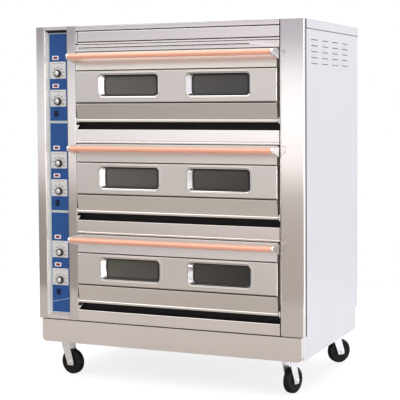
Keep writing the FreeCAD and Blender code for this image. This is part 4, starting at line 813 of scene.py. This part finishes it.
def door(deck):
    body = f"{deck}_door"
    (left, right), (proud, _), (low, high) = bounds(f"{deck}_door_skin")
    back = FRONT + DOOR_BACK
    pan_low, pan_high = low + CREASE_LOW, low + CREASE_HIGH
    tuck = 0.007
    lower = [
        (back, low),
        (FRONT - 0.0015, low),
        (FRONT - 0.0015, low + 0.0085),
        (FRONT, low + 0.0115),
        (proud + 0.0022, pan_low - 0.0065),
        (proud + tuck, pan_low - 0.0060),
        (proud + tuck, pan_low + 0.012),
    ]
    upper = [
        (proud + tuck, pan_high - 0.012),
        (proud + tuck, pan_high + 0.0040),
        (proud + 0.0015, pan_high + 0.0045),
        (FRONT - TOP_PROUD, high),
        (back, high),
    ]
    piece(f"{deck}_door_lower_band", bent("x", lower, 0.0022, (left, right), side=-1), "door_steel", body, f"{deck}_door_skin")
    piece(f"{deck}_door_upper_band", bent("x", upper, 0.0018, (left, right), side=-1), "door_steel", body)

    # black strips set into the two creases: painted shade, the shadow gaps under and over the proud middle band
    joints = []
    for crease_shade_low, crease_shade_high in ((pan_low - 0.0058, pan_low + 0.006), (pan_high - 0.006, pan_high + 0.0038)):
        joints.append(block((left + 0.002, right - 0.002), (proud + 0.0048, proud + 0.0064), (crease_shade_low, crease_shade_high), 0.0002))
    piece(f"{deck}_door_crease_shade", merged(*joints), "black", body)

    ends = []
    outline = [(back - 0.001, low + 0.002), (FRONT + 0.001, low + 0.002), (FRONT + 0.002, low + 0.012),
               (proud + 0.006, pan_low - 0.002), (proud + 0.006, pan_high), (FRONT + 0.001, high - 0.002), (back - 0.001, high - 0.002)]
    for face in (left + 0.0003, right - 0.0015):
        ends.append(slab("left", face, [outline], [(0, 0), (0, 0.0012)]))
    piece(f"{deck}_door_cheeks", merged(*ends), "door_steel", body)

    windows = window_places(deck)
    pan = rounded((left - 0.0008, right + 0.0008), (pan_low, pan_high), 0.003)
    holes = [rounded(x, z, WINDOW_CORNER)[::-1] for x, z in windows]
    rim = soft_edge(0.0035, 0.0125) + [(SKIN, 0.0125), (SKIN, 0.0040), (0.0040, 0.0015)]
    front = slab("front", proud, [pan, *holes], [rim] + [[(0, 0), (0, 0.0015)]] * len(holes))
    piece(f"{deck}_door_middle_band", front, "door_steel", body)
    glaze(deck, windows, proud)
    handle(deck, body, low, high)
    dress(f"{deck}_door_liner", "door_steel")


def window_places(deck):
    """Each window's opening as ((x, x), (z, z))."""
    _, _, z = bounds(f"{deck}_window_bezels")
    (left, right), _, _ = bounds(f"{deck}_window_bezels")
    wide = 0.303
    return [((left, left + wide), z), ((right - wide, right), z)]


def window_ring(x, z, grow, radius, y):
    loop = rounded((x[0] - grow, x[1] + grow), (z[0] - grow, z[1] + grow), max(radius + grow, 0.001), 8)
    return [(u, y, v) for u, v in loop]


def glaze(deck, windows, proud):
    body = f"{deck}_door"
    _, (_, sight), _ = bounds(f"{deck}_window_bezels")
    side, edge = 0.020, 0.009
    beads, bevels, gaskets_and_shade_strips, panes = [], [], [], []
    for x, z in windows:
        bead = [(0.0075, 0.0004), (0.0062, -0.0008), (0.0045, -0.0012), (0.0025, -0.0012), (0.0010, -0.0004), (0.0002, 0.0012), (0.0006, 0.0030), (0.0070, 0.0016)]
        beads.append(loft([window_ring(x, z, grow, WINDOW_CORNER, proud + depth) for grow, depth in bead], ring_closed=True))
        sight_x, sight_z = (x[0] + side, x[1] - side), (z[0] + edge, z[1] - edge)
        front = [(x, z, -0.0010, WINDOW_CORNER, 0.0014), (x, z, -0.0022, WINDOW_CORNER, 0.0006), (x, z, -0.0040, WINDOW_CORNER, 0.0012)]
        rings = [window_ring(xx, zz, grow, radius, proud + depth) for xx, zz, grow, radius, depth in front]
        rings.append(window_ring(sight_x, sight_z, 0.0002, SIGHT_CORNER, sight - 0.0006))
        rings.append(window_ring(sight_x, sight_z, 0.0020, SIGHT_CORNER, sight - 0.0002))
        rings.append(window_ring(x, z, -0.0004, WINDOW_CORNER, proud + 0.0035))
        bevels.append(loft(rings, ring_closed=True))
        gasket = [(0.0002, -0.0022), (-0.0015, -0.0034), (-0.0040, -0.0030), (-0.0048, -0.0012), (-0.0048, -0.0001), (0.0016, -0.0001)]
        gaskets_and_shade_strips.append(loft([window_ring(sight_x, sight_z, grow, SIGHT_CORNER, sight + depth) for grow, depth in gasket], ring_closed=True))
    (left, _), (front, back), (low, high) = bounds(f"{deck}_window_panes")
    for x, z in windows:
        pane_x = (x[0] + side - 0.007, x[1] - side + 0.007)
        for face in (front, back - 0.004):
            panes.append(slab("front", face, [rounded(pane_x, (low, high), 0.012)], [(0.0004, 0), (0, 0.0004), (0, 0.0036), (0.0004, 0.004)]))
    piece(f"{deck}_window_beads", merged(*beads), "door_steel", body)
    piece(f"{deck}_window_bevels", merged(*bevels), "polished", body, f"{deck}_window_bezels")
    piece(f"{deck}_window_gaskets", merged(*gaskets_and_shade_strips), "black", body)
    piece(f"{deck}_glass", merged(*panes), "glass", body, f"{deck}_window_panes")


def handle(deck, body, low, high):
    (left, right), (front, back), (z_low, z_high) = bounds(f"{deck}_handle_bar")
    radius = (back - front) / 2
    centre = (0, (front + back) / 2, (z_low + z_high) / 2)
    bar = [(radius - 0.001, left), (radius, left + 0.001), (radius, right - 0.001), (radius - 0.001, right)]
    piece(f"{deck}_grip_bar", lathe(bar, centre, "x"), "copper", body, f"{deck}_handle_bar")
    (arm_left, arm_right), (arm_front, _), (arm_low, arm_high) = bounds(f"{deck}_handle_arms")
    slope = (DOOR_PROUD - TOP_PROUD) / (high - low - CREASE_HIGH)

    def door_face(z):
        return FRONT - TOP_PROUD - slope * (high - z)

    nose = centre[1] - arm_front
    outline = [(door_face(arm_low) - 0.0006, arm_low), (door_face(arm_high) - 0.0006, arm_high)]
    for step in range(9):
        angle = math.radians(70 + 220 * step / 8)
        outline.append((centre[1] + nose * math.cos(angle), centre[2] + nose * math.sin(angle)))
    arms = []
    for face, end in ((arm_left, left), (right, arm_right)):
        thick = end - face
        edge = [(0.002, 0), (0.0006, 0.0006), (0, 0.002), (0, thick - 0.002), (0.0006, thick - 0.0006), (0.002, thick)]
        arms.append(slab("left", face, [outline], edge))
    for foot in ((left - 0.001, left + 0.004), (right - 0.004, right + 0.001)):
        path = [(door_face(arm_low) - 0.0035, arm_low), (door_face(arm_low) - 0.0003, arm_low),
                (door_face(arm_high) - 0.0003, arm_high), (door_face(arm_high) - 0.0035, arm_high)]
        arms.append(slab("left", foot[0], [path], [(0, 0), (0, foot[1] - foot[0])]))
    piece(f"{deck}_handle_brackets", merged(*arms), "chrome", body, f"{deck}_handle_arms")


# ---------------------------------------------------------------- casters
def caster(name):
    fork, wheel = f"caster_{name}_fork", f"caster_{name}_wheel"
    swivel, roll = JOINTS[fork], JOINTS[wheel]
    axis = Vector(roll["axis"])
    yaw = math.atan2(-axis.x, axis.y)
    place = Matrix.Translation((swivel["pos_m"][0], swivel["pos_m"][1], 0)) @ Matrix.Rotation(yaw, 4, "Z")
    trail = (Vector(roll["pos_m"]) - Vector(swivel["pos_m"])).to_2d().length
    radius = roll["pos_m"][2]
    _, _, (_, top) = bounds(fork)
    inner, leg = 0.020, 0.003
    disc = [(0.0065, top - 0.004), (0.027, top - 0.004), (0.029, top - 0.0035), (0.030, top - 0.002), (0.0285, top - 0.0004), (0.026, top), (0.0065, top)]
    legs = []
    low = radius - 0.016
    outline = [(-0.019, top - 0.0005), (-0.022, top - 0.006), (-0.018, top - 0.022), (trail - 0.019, radius - 0.004), (trail - 0.018, low + 0.004),
               (trail - 0.014, low), (trail + 0.014, low), (trail + 0.018, low + 0.004), (trail + 0.018, radius), (0.027, top - 0.022), (0.027, top - 0.006), (0.024, top - 0.0005)]
    for face in (-inner - leg, inner):
        legs.append(slab("front", face, [outline], [(0.0006, 0), (0, 0.0006), (0, leg - 0.0006), (0.0006, leg)]))
    shapes = [lathe(disc, (0, 0, 0), "z")[0:2], *legs]
    piece(f"{fork}_legs", moved(merged(*shapes), place), "zinc", fork, fork)
    end = inner + leg
    bolt = [(0, -end - 0.0055), (0.004, -end - 0.0055), (0.0066, -end - 0.0040), (0.0066, -end), (0.0039, -end), (0.0039, end), (0.0066, end),
            (0.0066, end + 0.0045), (0.0045, end + 0.0052), (0, end + 0.0052)]
    piece(f"{fork}_axle", moved(lathe(bolt, (trail, 0, radius), "y", 6), place), "chrome", fork)
    half = 0.016
    tread = [(radius - 0.016, -half), (radius - 0.008, -half), (radius - 0.0035, -half + 0.0012), (radius - 0.0008, -half + 0.0045), (radius, -half + 0.009),
             (radius, half - 0.009), (radius - 0.0008, half - 0.0045), (radius - 0.0035, half - 0.0012), (radius - 0.008, half), (radius - 0.016, half)]
    piece(f"{wheel}_tyre", moved(ring_of(tread, (trail, 0, radius)), place), "rubber", wheel, wheel)
    rim = [(0.0046, -half - 0.002), (0.012, -half - 0.002), (0.0135, -half), (0.016, -half + 0.003), (radius - 0.020, -half + 0.004), (radius - 0.0162, -half + 0.001),
           (radius - 0.0162, half - 0.001), (radius - 0.020, half - 0.004), (0.016, half - 0.003), (0.0135, half), (0.012, half + 0.002), (0.0046, half + 0.002)]
    piece(f"{wheel}_rim", moved(ring_of(rim, (trail, 0, radius)), place), "rubber", wheel)


def ring_of(profile, centre, count=48):
    """A turned ring about the Y axis whose profile closes on itself."""
    rings = []
    for radius, along in profile:
        ring = []
        for k in range(count):
            angle = 2 * math.pi * k / count
            ring.append((centre[0] + radius * math.cos(angle), centre[1] + along, centre[2] + radius * math.sin(angle)))
        rings.append(ring)
    return loft(rings, ring_closed=True)


def caster_plates():
    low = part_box("caster_plates")[0].z
    dress("caster_plates", "zinc")


# ---------------------------------------------------------------- fasteners
def screw_head(facing, face, u, v, radius, proud=0.0018):
    """A pan head with a cross recess."""
    arm, half = radius * 0.55, radius * 0.14
    cross = [(half, half), (half, arm), (-half, arm), (-half, half), (-arm, half), (-arm, -half),
             (-half, -half), (-half, -arm), (half, -arm), (half, -half), (arm, -half), (arm, half)]
    cross = [(u + du, v + dv) for du, dv in cross]
    _, _, sign = FACINGS[facing]
    dome = [(radius * 0.35, 0), (radius * 0.14, proud * 0.3), (0, proud * 0.8), (0, proud)]
    head = slab(facing, face - sign * proud, [circle(u, v, radius), cross[::-1]], [dome, [(0, 0), (0, proud)]])
    plug = slab(facing, face - sign * proud * 0.35, [circle(u, v, radius * 0.7, 12)], [(0, 0), (0, proud * 0.3)])
    return merged(head, plug)


def fasteners():
    heads = []
    level_low, level_high = PLINTH_TOP + 0.030, TOP - 0.076
    for facing, face in (("left", -(RIGHT - SKIN)), ("right", RIGHT - SKIN)):
        for y in (FRONT + 0.060, BACK - 0.120):
            for z in (level_low, level_high):
                heads.append(screw_head(facing, face, y, z, 0.004))
    for z in (level_low, TOP - 0.040):
        for index in range(4):
            x = LEFT + 0.060 + index * (RIGHT - LEFT - 0.120) / 3
            heads.append(screw_head("back", BACK, x, z, 0.004))
    piece("panel_screws", merged(*heads), "zinc", "root", "screws")
    bolts = []
    plate_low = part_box("caster_plates")[1].z - 0.004
    for name in CASTERS:
        x, y, _ = JOINTS[f"caster_{name}_fork"]["pos_m"]
        for dx in (-0.041, 0.041):
            for dy in (-0.031, 0.031):
                hexagon = circle(x + dx, y + dy, 0.006, 6)
                bolts.append(slab("under", plate_low - 0.005, [hexagon], [(0.0008, 0), (0, 0.0008), (0, 0.005)]))
    piece("caster_bolts", merged(*bolts), "zinc")


# ---------------------------------------------------------------- the object
plinth()
pillars()
header()
fascias()
sills()
side_panels()
top_cover()
gland()
control_bay()
strip()
dials()
lamps()
switches()
for deck in DECKS:
    door(deck)
    for heat in HEATS:
        knob(deck, heat)
for name in CASTERS:
    caster(name)
caster_plates()
fasteners()
for node, finish in (
    ("base_frame", "frame_steel"),
    ("rear_panel", "steel_side"),
    ("oven_chambers", "chamber"),
    ("hearth_plates", "hearth"),
    ("heating_elements", "heater"),
    ("insulation", "wool"),
    ("hinge_brackets", "zinc"),
    ("thermostats", "grey"),
    ("electrical_parts", "grey"),
):
    dress(node, finish)

# ---------------------------------------------------------------- studio
scene = bpy.context.scene
scene.view_settings.view_transform = "Standard"


def mix_by_camera(tree, seen, lit, kind):
    """One shader for what the camera sees, and another for what lights the object."""
    path = tree.nodes.new("ShaderNodeLightPath")
    mix = tree.nodes.new("ShaderNodeMixShader")
    tree.links.new(path.outputs["Is Camera Ray"], mix.inputs["Fac"])
    tree.links.new(lit.outputs[0], mix.inputs[1])
    tree.links.new(seen.outputs[0], mix.inputs[2])
    tree.links.new(mix.outputs["Shader"], tree.nodes[kind].inputs["Surface"])


def ramp_of(tree, value, stops):
    ramp = tree.nodes.new("ShaderNodeValToRGB")
    elements = ramp.color_ramp.elements
    while len(elements) < len(stops):
        elements.new(0.5)
    for element, (position, colour) in zip(elements, stops):
        element.position = position
        element.color = (*colour, 1)
    tree.links.new(value, ramp.inputs["Fac"])
    return ramp.outputs["Color"]


def plain_floor():
    half = 2.6
    mesh = bpy.data.meshes.new("floor")
    corners = [(-half, -half, 0), (half, -half, 0), (half, half, 0), (-half, half, 0)]
    mesh.from_pydata(corners, [], [(0, 1, 2, 3)])
    floor = bpy.data.objects.new("floor", mesh)
    scene.collection.objects.link(floor)
    paint = bpy.data.materials.new("floor")
    paint.use_nodes = True
    tree = paint.node_tree
    shader = tree.nodes["Principled BSDF"]
    shader.inputs["Roughness"].default_value = 0.9
    place = tree.nodes.new("ShaderNodeTexCoord")
    split = tree.nodes.new("ShaderNodeSeparateXYZ")
    tree.links.new(place.outputs["Object"], split.inputs["Vector"])
    # painted light: beyond x 0.6 m the floor is lighter for the rays that light the object, so the side panels reflect
    # a brighter floor
    painted_light_beside = tree.nodes.new("ShaderNodeMapRange")
    painted_light_beside.inputs["From Min"].default_value = 0.60
    painted_light_beside.inputs["From Max"].default_value = 0.80
    tree.links.new(split.outputs["X"], painted_light_beside.inputs["Value"])
    shade = ramp_of(tree, painted_light_beside.outputs["Result"], ((0, (0.47, 0.43, 0.40)), (1, (0.82, 0.82, 0.85))))
    tree.links.new(shade, shader.inputs["Base Color"])
    pale = tree.nodes.new("ShaderNodeBsdfPrincipled")
    pale.inputs["Base Color"].default_value = (0.25, 0.25, 0.25, 1)
    pale.inputs["Roughness"].default_value = 0.9
    pale.inputs["Emission Color"].default_value = (1, 1, 1, 1)
    pale.inputs["Emission Strength"].default_value = 0.80
    mix_by_camera(tree, pale, shader, "Material Output")
    mesh.materials.append(paint)


def studio_world():
    """A bright band at eye level in front of a warm room, and a cool white wall behind the object."""
    world = bpy.data.worlds.new("studio")
    scene.world = world
    world.use_nodes = True
    tree = world.node_tree
    nodes, links = tree.nodes, tree.links
    toward = nodes.new("ShaderNodeTexCoord")
    split = nodes.new("ShaderNodeSeparateXYZ")
    links.new(toward.outputs["Generated"], split.inputs["Vector"])
    height = nodes.new("ShaderNodeMapRange")
    height.inputs["From Min"].default_value = -0.40
    height.inputs["From Max"].default_value = 0.40
    links.new(split.outputs["Z"], height.inputs["Value"])
    front = ramp_of(tree, height.outputs["Result"], (
        (0.00, (0.50, 0.46, 0.42)),
        (0.20, (0.52, 0.475, 0.43)),
        (0.34, (0.56, 0.49, 0.455)),
        (0.395, (0.64, 0.58, 0.55)),
        (0.43, (1.28, 1.20, 1.20)),
        (0.48, (1.42, 1.38, 1.42)),
        (0.525, (1.25, 1.22, 1.26)),
        (0.565, (0.64, 0.60, 0.67)),
        (0.62, (0.62, 0.585, 0.625)),
        (0.75, (0.90, 0.87, 0.83)),
        (1.00, (1.20, 1.16, 1.10)),
    ))
    behind = ramp_of(tree, height.outputs["Result"], (
        (0.20, (0.95, 0.94, 0.97)),
        (0.60, (1.06, 1.05, 1.10)),
    ))
    way = nodes.new("ShaderNodeMapRange")
    way.inputs["From Min"].default_value = -0.25
    way.inputs["From Max"].default_value = 0.25
    links.new(split.outputs["Y"], way.inputs["Value"])
    aside = nodes.new("ShaderNodeMapRange")
    aside.inputs["From Min"].default_value = -0.54
    aside.inputs["From Max"].default_value = -0.34
    aside.inputs["To Min"].default_value = 0.69
    aside.inputs["To Max"].default_value = 1.05
    links.new(split.outputs["X"], aside.inputs["Value"])
    dimmed = nodes.new("ShaderNodeMix")
    dimmed.data_type = "RGBA"
    dimmed.blend_type = "MULTIPLY"
    dimmed.inputs["Factor"].default_value = 1
    links.new(front, dimmed.inputs["A"])
    links.new(aside.outputs["Result"], dimmed.inputs["B"])
    blend = nodes.new("ShaderNodeMix")
    blend.data_type = "RGBA"
    links.new(way.outputs["Result"], blend.inputs["Factor"])
    links.new(dimmed.outputs["Result"], blend.inputs["A"])
    links.new(behind, blend.inputs["B"])
    links.new(blend.outputs["Result"], nodes["Background"].inputs["Color"])
    white = nodes.new("ShaderNodeBackground")
    white.inputs["Color"].default_value = (1, 1, 1, 1)
    mix_by_camera(tree, white, nodes["Background"], "World Output")


def softbox(name, place, aim, size, power):
    light = bpy.data.lights.new(name, "AREA")
    light.shape = "RECTANGLE"
    light.size, light.size_y = size
    light.energy = power
    made = bpy.data.objects.new(name, light)
    made.location = place
    made.rotation_euler = (Vector(aim) - Vector(place)).to_track_quat("-Z", "Y").to_euler()
    scene.collection.objects.link(made)


plain_floor()
studio_world()
softbox("key", (-3.2, -4.5, 4.8), (0, 0, 0.9), (3.0, 3.0), 46)
softbox("top", (0, 0.4, 4.5), (0, 0, 0), (4, 4), 60)
softbox("edge", (4.2, -1.2, 1.0), (0.65, -0.37, 0.9), (0.8, 2.6), 40)

camera_data = bpy.data.cameras.new("camera")
camera = bpy.data.objects.new("camera", camera_data)
scene.collection.objects.link(camera)
scene.camera = camera
camera_data.lens = 105.46
camera_data.sensor_width = 36
camera_data.shift_y = -0.10
camera_data.clip_end = 100
yaw, pitch, roll = (math.radians(angle) for angle in (23.47, 2.961, -0.387))
ahead = Vector((-math.sin(yaw) * math.cos(pitch), math.cos(yaw) * math.cos(pitch), -math.sin(pitch)))
right_hand = Vector((math.cos(yaw), math.sin(yaw), 0))
upward = right_hand.cross(ahead)
tilted_right = right_hand * math.cos(roll) + upward * math.sin(roll)
tilted_up = upward * math.cos(roll) - right_hand * math.sin(roll)
camera.matrix_world = Matrix.Translation((2.2087, -5.0646, 1.2843)) @ Matrix((tilted_right, tilted_up, -ahead)).transposed().to_4x4()
